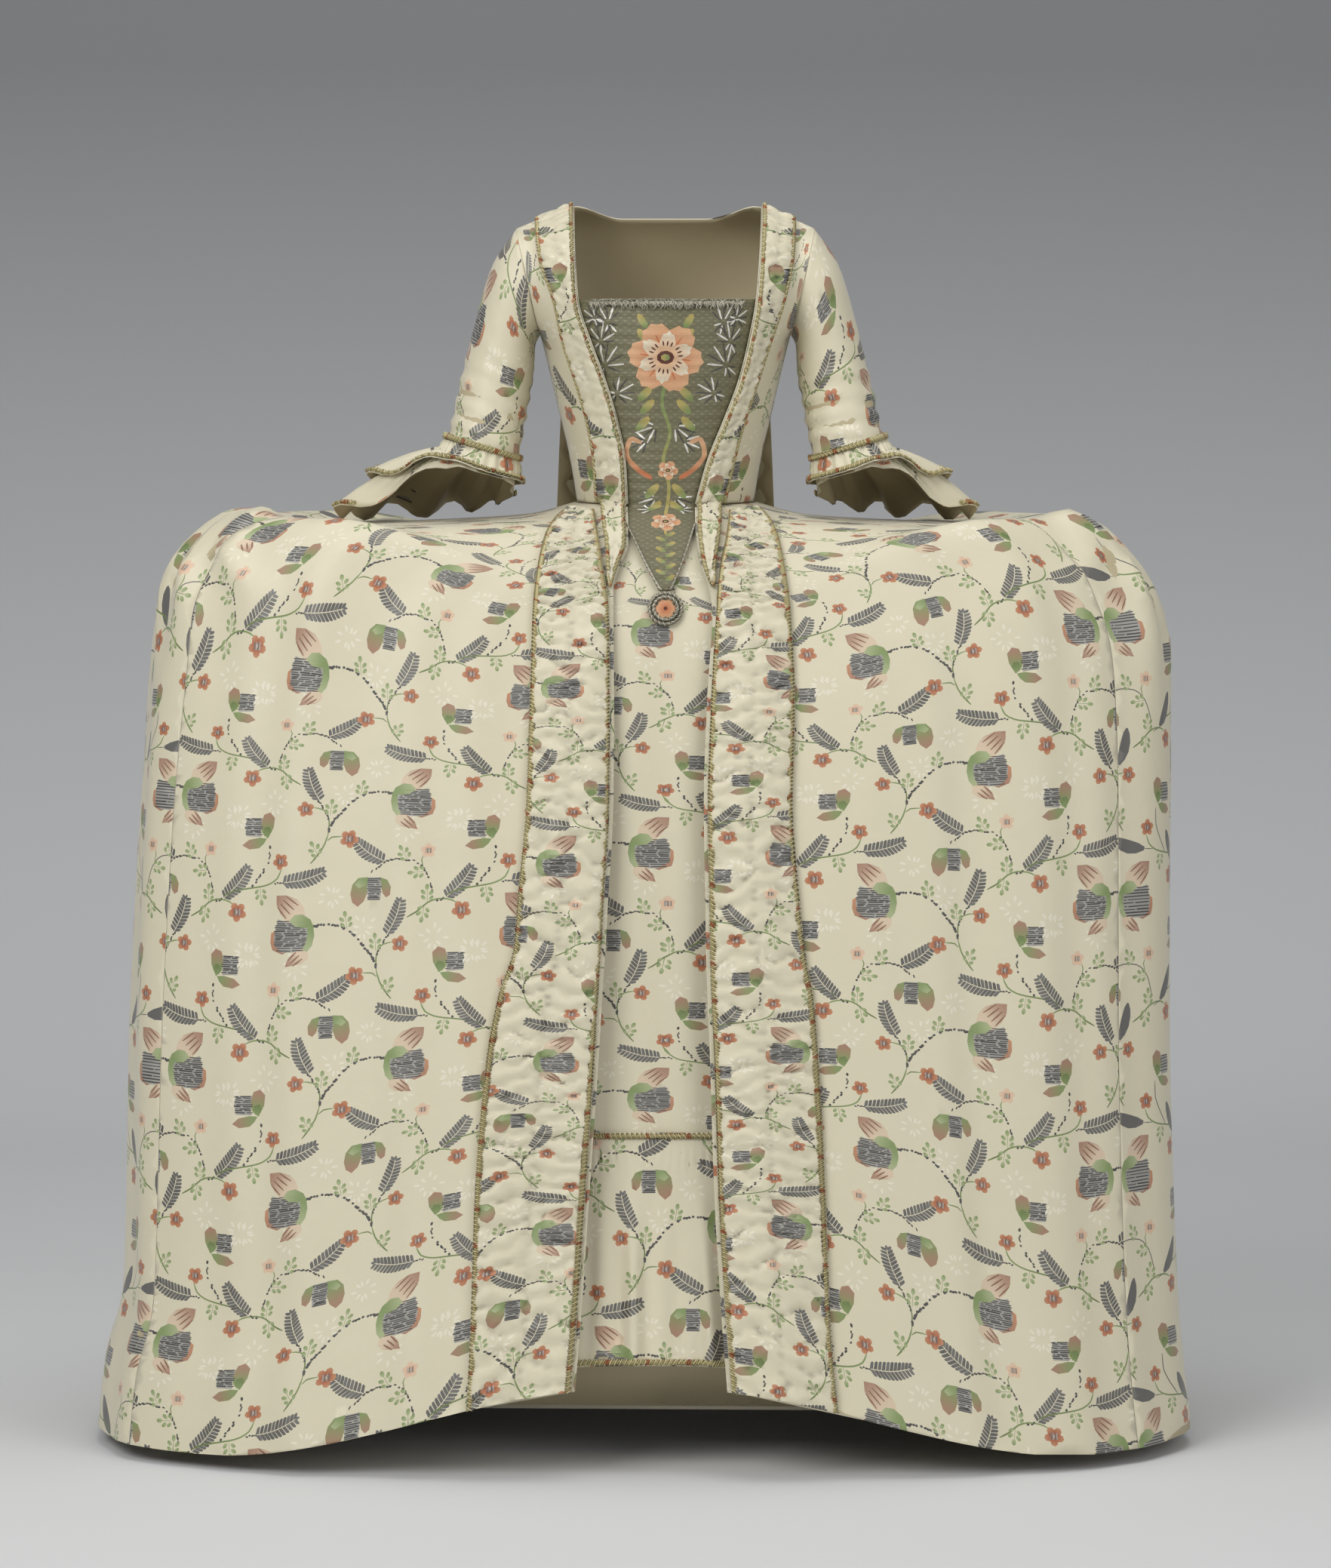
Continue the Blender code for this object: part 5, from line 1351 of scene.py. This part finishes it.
def makeBodiceRobings():
    shares = np.linspace(0, 1, 13)
    for side, word in sideWords.items():
        rows = [bodiceFrontRow(t, side, shares) for t in np.linspace(1, 0, 45)]
        rows += [tailRow(r, side, tail["start"] + (tail["end"] - tail["start"]) * shares)
                 for r in np.linspace(*tail["rows"], 30)]
        flat = sheetOf(rows)
        waist = flat.length * 0.75

        def relief(u, v, flat=flat, side=side, waist=waist):
            s = np.clip(u / flat.width, 0, 1)
            fade = 1 - 0.45 * smooth(waist, flat.length, v)
            return tail["lift"] + rucheRelief(s, v, 0.0046, pitch=0.0150, start=2.3 * side) * fade

        length, width = flat.length, flat.width
        roundedEnd = [(width / 2 + width / 2 * math.cos(a), length - 0.020 + 0.018 * math.sin(a))
                      for a in np.radians(np.arange(12, 180, 12))]
        vs = np.linspace(0, length - 0.020, 120)
        border = [(u, 0) for u in np.linspace(0, width, 6)[:-1]] + [(width, v)
                                                                    for v in vs] + roundedEnd + [(0, v)
                                                                                                 for v in vs[::-1][:-1]]
        # The under surface is the cloth below the puffs. The inner face follows it, and woven paints shade into the
        # creases from it.
        woven(f"bodiceRobing_{word}", flat, border, [f"bodice_robing_{word}"], sign=side, relief=relief,
              step=(0.0045, 0.0030), under=lambda u, v: tail["lift"] + 0 * u,
              origin=(0.03, 0.02), gather=tail["gather"])
        for edge, u, inward in (("inner", 0.0, 0.006), ("outer", width, -0.006)):
            line = [(u, v) for v in vs]
            if edge == "inner":
                line += roundedEnd[::-1][:-1]
            line = np.array(line)
            middle = np.array([(width / 2, min(v, length - 0.022)) for _, v in line])
            gimp(f"bodiceRobingBraid_{word}_{edge}", flat, line, line + (middle - line) * 0.2, None,
                 tail["lift"] + 0.0012,
                 [f"bodice_robing_{word}_braid_{edge}"], sign=side, width=0.0042)


makeBodiceRobings()


# Sleeves and their flounces

flounceEdge = curvesOf(
    "angle x y height",
    [
        (0, 0.352, 0.020, 0.9930),
        (30, 0.345, 0.080, 0.9930),
        (60, 0.300, 0.118, 0.9940),
        (90, 0.240, 0.128, 0.9960),
        (120, 0.198, 0.092, 0.9985),
        (150, 0.174, 0.038, 1.0040),
        (180, 0.163, -0.020, 1.0160),
        (210, 0.170, -0.056, 1.0250),
        (240, 0.182, -0.068, 1.0290),
        (270, 0.199, -0.072, 1.0340),
        (295, 0.218, -0.068, 1.0400),
        (315, 0.240, -0.056, 1.0400),
        (330, 0.274, -0.036, 1.0240),
        (345, 0.320, -0.010, 1.0020),
        (360, 0.352, 0.020, 0.9930),
    ],
)
tables["flounceEdge"] = flounceEdge
flounce = {"reach": {1: 0.86, -1: 1.0}, "centreX": 0.1975, "waves": 11, "drop": 0.010, "seam": 190}


def flounceSpot(angle, share, side, lift, deep):
    found = rowAt("flounceEdge", angle % 360)
    edge = np.array([found["x"], found["y"], found["height"]])
    if edge[0] > 0.24:
        edge[0] = flounce["centreX"] + (edge[0] - flounce["centreX"]) * flounce["reach"][side]
    edge[0] *= side
    top, away = sleeveSpot(5, angle, side)
    long = 0.5 + 0.5 * math.cos(math.radians(angle - 60))
    if share < 0:
        up = sleeveSpot(4, angle, side)[0] - top
        point = top - up / np.linalg.norm(up) * share
    else:
        length = np.linalg.norm(edge - top)
        point = top + (edge - top) * share + [0, 0,
                                              0.22 * share * (1 - share) * length - flounce["drop"]
                                              * long * share**2]
    rise = 0.75 * float(smooth(-0.015, 0.012, share)) * long
    out = away * (1 - rise) + np.array([0, 0, 1]) * rise
    wave = math.cos(flounce["waves"] * math.radians(angle) + 0.6)
    sharp = wave * (1.25 - 0.25 * wave * wave)
    point = point + out / np.linalg.norm(out) * (lift + (0.0010 + deep * long) * max(0.0, share) * sharp)
    return point - [0, 0, shoulderHeight]


# Small gathers under the cuff's braid, which run out down the flounce.
def flouncePleats(u, v):
    fade = smooth(0, 0.004, v) * (1 - 0.8 * smooth(0.012, 0.06, v))
    return 0.0013 * fade * np.sin(2 * math.pi * u / 0.0125 + 1.5 * np.sin(40 * u) + 14 * v)


def ringRow(spot):
    return [spot(a) for a in flounce["seam"] + np.linspace(0, 360, 145)]


def makeSleeves():
    for side, word in sideWords.items():
        rows = [ringRow(lambda a, p=p: sleeveSpot(p, a, side)[0] - [0, 0, shoulderHeight])
                for p in np.linspace(0.02, 5, 50)]
        flat = sheetOf(rows)

        def relief(u, v, flat=flat, side=side):
            bend = np.exp(-(((v - 0.72 * flat.length) / 0.05) ** 2))
            return 0.0016 * bend * np.sin(2 * math.pi * v / 0.021 + 3
                                          * np.sin(2 * math.pi * u / flat.width + side)) - 0.0002

        woven(f"sleeve_{word}_cloth", flat, oblong(flat.width, flat.length), [f"sleeve_{word}"],
              sign=side, relief=relief,
              origin=(0.05, 0.03 + 0.04 * side), step=0.008)
        for layer, last, first in (("lower", 1.0, -0.004), ("upper", 0.66, -0.022)):
            rows = []
            for share in np.concatenate([np.linspace(first, 0, 6)[:-1], np.linspace(0, last, 30)]):
                lift = 0.0022
                if layer == "upper":
                    lift += 0.0038 * float(smooth(-0.015, -0.004, share)) + 0.008 * max(0.0, share)
                rows.append(ringRow(lambda a: flounceSpot(a, share, side, lift, 0.0085)))
            flat = sheetOf(rows)
            woven(f"flounce_{layer}_{word}_cloth", flat, oblong(flat.width, flat.length),
                  [f"flounce_{layer}_{word}"],
                  sign=side, origin=(0.02, 0.10), step=(0.0028, 0.006), relief=flouncePleats,
                  thickness=0.0009, gather=1.0)
            low = np.array([(u, flat.length - 0.0004) for u in np.linspace(0.001, flat.width - 0.001, 160)])
            top = np.array([(u, 0.0004) for u in np.linspace(0.001, flat.width - 0.001, 160)])
            if layer == "lower":
                share = (np.array([-36, 168]) - flounce["seam"]) % 360 / 360
                start, end = int(share[0] * 159), int(share[1] * 159)
                kept = low[start:end] if start < end else np.concatenate([low[start:], low[:end]])
                gimp(f"flounceBraid_lower_{word}", flat, kept, kept - [0, 0.008], None, 0.0006,
                     [f"flounce_lower_braid_{word}"], sign=side)
            else:
                gimp(f"flounceBraid_upper_{word}", flat, low, low - [0, 0.008], None, 0.0006,
                     [f"flounce_upper_braid_{word}"], sign=side)
                gimp(f"cuffBraid_{word}", flat, top, top + [0, 0.008], None, 0.0006,
                     [f"cuff_braid_{word}"], sign=side)


makeSleeves()


# The stomacher

stomacher = {"lift": -0.0032,
             "rows": [(1.214, 0.0985, 0.1010), (1.170, 0.0850, 0.0930), (1.130, 0.0700, 0.0830),
                      (1.088, 0.0570, 0.0670), (1.046, 0.0480, 0.0500), (1.000, 0.0375, 0.0290),
                      (0.955, 0.0230, 0.0185), (0.914, 0.0060, 0.0060)]}
stomacherHalf = curvesOf("height right left", stomacher["rows"])
embroidery = {
    "ground": colourOf("#6f6b50"),
    "groundLight": colourOf("#857f62"),
    "coral": colourOf("#bf6f43"),
    "peach": colourOf("#d9a980"),
    "heart": colourOf("#5a2f22"),
    "green": colourOf("#7d8f56"),
    "yellow": colourOf("#b9a561"),
    "strip": colourOf("#e6e3da"),
    "darkStrip": colourOf("#57554f"),
    "pale": colourOf("#e0dcc4"),
}
clothOfSilver = clothMaterial("clothOfSilver", ribPitch=0.0011, roughness=0.42, sheen=0.05, bump=1.0,
                              toneAndShade=(0.72, 1.2))


def stomacherPoint(x, height):
    if height >= waistHeight - 0.002:
        return [x, float(torsoY(x, height, False)), height - shoulderHeight]
    place = float(placeAtHeight("frontHeight", height))
    return skirtSurface(np.array([place]),
                        np.array([float(angleAt(place, 1 if x >= 0 else -1, x))]))[0].tolist()


def stitched(points, first, second=None, axis=None, metal=0.1):
    return newPiece(points, embroidery[first], embroidery[second or first], axis, metal)


# A flower on a leafy stem between sprays of silver strip, in millimetres from the top's middle.
def drawEmbroidery():
    pieces = []
    for k, y in enumerate(range(-4, 300, 3)):
        for x in range(-102, 104, 8):
            at = np.array([x + 4 * (k % 2), y], float)
            pieces.append(stitched([at, at + [2.4, -1.1], at + [4.8, 0], at + [2.4, 1.1]], "groundLight",
                                   metal=0.5))

    def spray(base, turn, spread, count, reach, name="strip"):
        for k in range(count):
            a = math.radians(turn + spread * (k / (count - 1) - 0.5))
            tip = np.array(base) + reach * (0.75 + 0.25
                                            * math.sin(math.pi
                                                       * k / (count - 1))) * np.array([math.cos(a),
                                                                                       math.sin(a)])
            start = np.array(base) + (tip - base) * 0.22
            shade = name if k % 2 else "darkStrip"
            pieces.append(stitched(strokeOutline([start, (start + tip) / 2, tip], 1.9), shade, metal=1.0))

    def leafAt(centre, turn, size, first="green", second="yellow"):
        outline = rounded(centre, size, size * 0.42, turn, 9)
        pieces.append(stitched(outline, first, second, (tuple(outline[0]), tuple(outline[4]))))

    def bloom(centre, size, petals):
        for ring, reach, wide, first, second in ((0, 0.66, 0.40, "coral", "peach"),
                                                 (1, 0.38, 0.22, "peach", "pale")):
            for k in range(petals):
                a = 360 / petals * (k + 0.5 * ring) + 8
                way = np.array([math.cos(math.radians(a)), math.sin(math.radians(a))])
                outline = rounded(np.array(centre) + way * size * reach, size * 0.37, size * wide, a, 16)
                outline = [p + way * size * 0.035 * (-1) ** i for i, p in enumerate(outline)]
                outer = tuple(np.array(centre) + way * size)
                pieces.append(stitched(outline, first, second, (tuple(centre), outer)))
                for lean in (-16, 0, 16):
                    line = np.array([math.cos(math.radians(a + lean)), math.sin(math.radians(a + lean))])
                    start, end = np.array(centre) + line * size * 0.34, np.array(centre) + line * size * (0.70 - 0.22 * ring)
                    pieces.append(stitched(strokeOutline([start, (start + end) / 2, end], size * 0.05),
                                           "heart" if ring else "coral"))
        pieces.append(stitched(rounded(centre, size * 0.24, size * 0.20, 0, 9), "heart"))
        pieces.append(stitched(rounded(centre, size * 0.13, size * 0.10, 0, 7), "green", "yellow"))

    for side in (-1, 1):
        for x, y, turn, reach in ((52, 22, 150, 20), (60, 40, 190, 19), (56, 62, 215, 22),
                                  (44, 88, 240, 18), (66, 18, 120, 15)):
            spray((side * x, y), 90 - side * turn, 150, 7, reach)
            spray((side * x, y), 270 - side * turn, 90, 4, reach * 0.6, "strip")
        for x, y, turn, reach in ((8, 118, 60, 20), (16, 132, 75, 16), (8, 186, 60, 17), (12, 200, 80, 13)):
            spray((side * x, y), 90 - side * turn, 110, 6, reach)
        scroll = [(side * 12, 168), (side * 26, 158), (side * 35, 144), (side * 30, 130), (side * 21, 134)]
        pieces.append(stitched(strokeOutline(softPath(scroll, 4), 4.6), "coral", "peach"))
        for y, reach in ((100, 16), (116, 20), (88, 18), (180, 12), (196, 10)):
            leafAt((side * reach, y), 90 - side * 42, 9)
        for y in (20, 34):
            leafAt((side * 20, y), -60 if side > 0 else -120, 8, "yellow", "green")
    stem = [(2, 70), (-3, 96), (4, 124), (-2, 150), (3, 176), (0, 214), (0, 240)]
    pieces.append(stitched(strokeOutline(softPath(stem, 6), 3.0), "green", "yellow"))
    bloom((0, 54), 32, 6)
    bloom((0, 222), 13, 5)
    bloom((2, 160), 9, 5)
    for k in range(9):
        y = 240 + 6 * k
        leafAt((4 * (-1) ** k, y), 60 * (-1) ** k + 90, 5)
    return [{**piece, "points": piece["points"] / 1000, "axis": piece["axis"] / 1000} for piece in pieces]


def makeStomacher():
    heights = np.linspace(1.214, 0.914, 61)
    xs = np.linspace(-0.101, 0.101, 61)
    flat = sheetOf([[stomacherPoint(x, h) for x in xs] for h in heights])
    middle, length = flat.width / 2, flat.length
    stretch = flat.width / 0.202

    def across(height, side):
        half = stomacherHalf["left" if side > 0 else "right"](height)
        return middle + side * half * stretch

    vs = np.interp(heights, heights[::-1], np.linspace(length, 0, 61))
    left = np.stack([across(heights, -1), vs], -1)
    right = np.stack([across(heights, 1), vs], -1)
    pieces = drawEmbroidery()
    for piece in pieces:
        for key in ("points", "axis"):
            piece[key] = piece[key] * [stretch, length / 0.300] + [middle, 0]

    def relief(u, v):
        return stomacher["lift"] + 0.0004 * np.sin(2 * math.pi * v / 0.011 + np.sin(40 * u))

    cloth = woven("stomacherCloth", flat, sideBySide(left, right), ["stomacher"], relief=relief,
                  pieces=pieces, step=0.006,
                  ground=embroidery["ground"], materials=(clothOfSilver, lining), thickness=0.0016)
    low = [k for k, h in enumerate(heights) if h < 0.99]
    for word, edge in (("right", left), ("left", right)):
        line = edge[low]
        inward = line + ([middle, line[-1, 1]] - line) * 0.3
        gimp(f"stomacherBraid_{word}", flat, line, inward, None, stomacher["lift"] + 0.0016,
             [f"stomacher_braid_{word}"],
             kind="silver", material=metalLace, width=0.0040)
    line = np.array([(u, 0.001) for u in np.linspace(middle - 0.088, middle + 0.091, 90)])
    gimp("laceHead", flat, line, line + [0, 0.01], None, stomacher["lift"] + 0.0010, [], kind="silver",
         material=metalLace, width=0.0060)
    threads, normals, colours = [], [], []
    for k in range(520):
        u = middle + chance.uniform(-0.087, 0.090)
        reach, lean = chance.uniform(-0.0055, 0.0105), chance.uniform(-0.004, 0.004)
        steps = np.linspace(0, 1, 6)
        us = u + lean * steps + 0.0012 * np.sin(steps * 9 + k)
        fromTop = 0.001 + reach * steps
        normal = normalsOf(flat, us, fromTop, 1)
        high = stomacher["lift"] + 0.0012 + 0.0024 * np.sin(math.pi * steps * 0.9)
        threads.append(flat(us, fromTop) + normal * high[:, None])
        normals.append(normal)
        colours.append(np.tile([*braidColours["silver" if k % 3 else "darkSilver"], 0.3], (6, 1)))
    points, triangles, paint, uv = threadMesh(threads, normals, colours, 0.00042, 3)
    fringe = addMesh("laceFringe", points, triangles, uv, paint, (metalLace,))
    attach(fringe, "root")
    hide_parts("stomacher_lace")
    return cloth


makeStomacher()


# The round tab at the stomacher's point

tab = {"height": 0.8945, "radius": 0.0180, "lift": -0.0047}


def makeTab():
    above, below = (np.array(stomacherPoint(0.0, tab["height"] + d)) for d in (0.02, -0.02))
    up = (above - below) / np.linalg.norm(above - below)
    out = np.cross([1, 0, 0], up)
    centre = np.array(stomacherPoint(0.0, tab["height"])) + out * tab["lift"]

    def disc(u, v):
        reach = np.sqrt(u**2 + v**2) / tab["radius"]
        dome = 0.0026 * np.clip(1 - reach**2, 0, 1)
        return centre + u[:, None] * np.array([1.0, 0, 0]) - v[:, None] * up + (dome + 0.0004)[:,
                                                                                               None] * out

    border = [(tab["radius"] * math.cos(a), tab["radius"] * math.sin(a))
              for a in np.linspace(0, 2 * math.pi, 41)[:-1]]
    pieces = []
    for ring, reach, wide in ((0, 0.42, 0.22), (1, 0.24, 0.16)):
        for k in range(6):
            a = 60 * k + 30 * ring
            way = np.array([math.cos(math.radians(a)), math.sin(math.radians(a))]) * tab["radius"]
            outline = rounded(way * reach, tab["radius"] * 0.26, tab["radius"] * wide, a, 8)
            pieces.append(stitched(outline, "coral", "peach", ((0, 0), tuple(way * 0.7))))
    pieces.append(stitched(rounded((0, 0), 0.0022, 0.0022, 0, 7), "heart"))
    woven("tabCloth", disc, border, ["stomacher_tab"], pieces=pieces, step=0.003,
          ground=embroidery["ground"],
          materials=(clothOfSilver, lining), thickness=0.0018)
    for k, radius in enumerate((0.0186, 0.0140)):
        line = np.array([(radius * math.cos(a), radius * math.sin(a))
                         for a in np.linspace(0, 2 * math.pi, 120)])
        gimp(f"tabBraid_{k}", disc, line, line * 0.8, None, 0.0004,
             ["stomacher_tab_lace"] if k == 0 else [], kind="silver",
             material=metalLace, width=0.0036)


makeTab()


# Camera, floor and light

def lookAt(thing, target):
    thing.rotation_euler = (Vector(target) - thing.location).to_track_quat("-Z", "Y").to_euler()


studio = {
    "eye": (0, -6.5, 1.2 - shoulderHeight),
    "aim": (0, 0, 0.6984 - shoulderHeight),
    "lens": 140.25,
    "floor": -shoulderHeight,
    "keyPlace": (-2.4, -3.6, 2.2),
    "keyPower": 120.0,
    "fillPlace": (3.2, -3.8, 0.9),
    "fillPower": 50.0,
    "topPlace": (0.2, -0.6, 3.2),
    "topPower": 55.0,
}


def makeStudio():
    camera = bpy.data.objects.new("camera", bpy.data.cameras.new("camera"))
    bpy.context.scene.collection.objects.link(camera)
    camera.location = studio["eye"]
    camera.data.sensor_fit = "VERTICAL"
    camera.data.sensor_height = 36
    camera.data.lens = studio["lens"]
    lookAt(camera, studio["aim"])
    bpy.context.scene.camera = camera
    for name, power, size in (("key", "keyPower", 2.6), ("fill", "fillPower", 2.6),
                              ("top", "topPower", 2.4)):
        light = bpy.data.objects.new(name, bpy.data.lights.new(name, "AREA"))
        bpy.context.scene.collection.objects.link(light)
        light.location = studio[name + "Place"]
        light.data.energy = studio[power]
        light.data.size = size
        lookAt(light, (0, 0, -0.55))
    world = bpy.data.worlds.new("studio")
    world.use_nodes = True
    world.node_tree.nodes["Background"].inputs[0].default_value = (0.80, 0.82, 0.84, 1)
    world.node_tree.nodes["Background"].inputs[1].default_value = 0.42
    bpy.context.scene.world = world
    sweep = []
    for y, z in [(-9, 0),
                 (2.2, 0)] + [(2.2 + 1.6 * math.sin(a), 1.6 - 1.6 * math.cos(a))
                              for a in np.radians([15, 30, 45, 60, 75, 90])] + [(3.8, 7)]:
        sweep.append((y, z + studio["floor"]))
    points = np.array([(x, y, z) for y, z in sweep for x in (-9, 9)], float)
    triangles = []
    for i in range(len(sweep) - 1):
        a = 2 * i
        triangles += [(a, a + 1, a + 3), (a, a + 3, a + 2)]
    ground = addMesh("studioFloor", points, np.array(triangles))
    material = bpy.data.materials.new("paleFloor")
    material.use_nodes = True
    tree = material.node_tree
    shader = tree.nodes["Principled BSDF"]
    # Painted shade: the sweep goes from pale grey on the floor to dark grey up the backdrop, darker with height.
    place = nodeOf(tree, "NewGeometry")
    split = nodeOf(tree, "SeparateXYZ")
    tree.links.new(place.outputs["Position"], split.inputs[0])
    rise = nodeOf(tree, "MapRange")
    rise.inputs["From Min"].default_value, rise.inputs["From Max"].default_value = -1.25, 0.3
    tree.links.new(split.outputs[2], rise.inputs["Value"])
    tree.links.new(mixColour(tree, rise.outputs[0], (0.66, 0.66, 0.66, 1), (0.27, 0.27, 0.275, 1)),
                   shader.inputs["Base Color"])
    shader.inputs["Roughness"].default_value = 0.9
    ground.data.materials.append(material)
    bpy.context.scene.view_settings.view_transform = "Standard"


makeStudio()
print("studio ready")
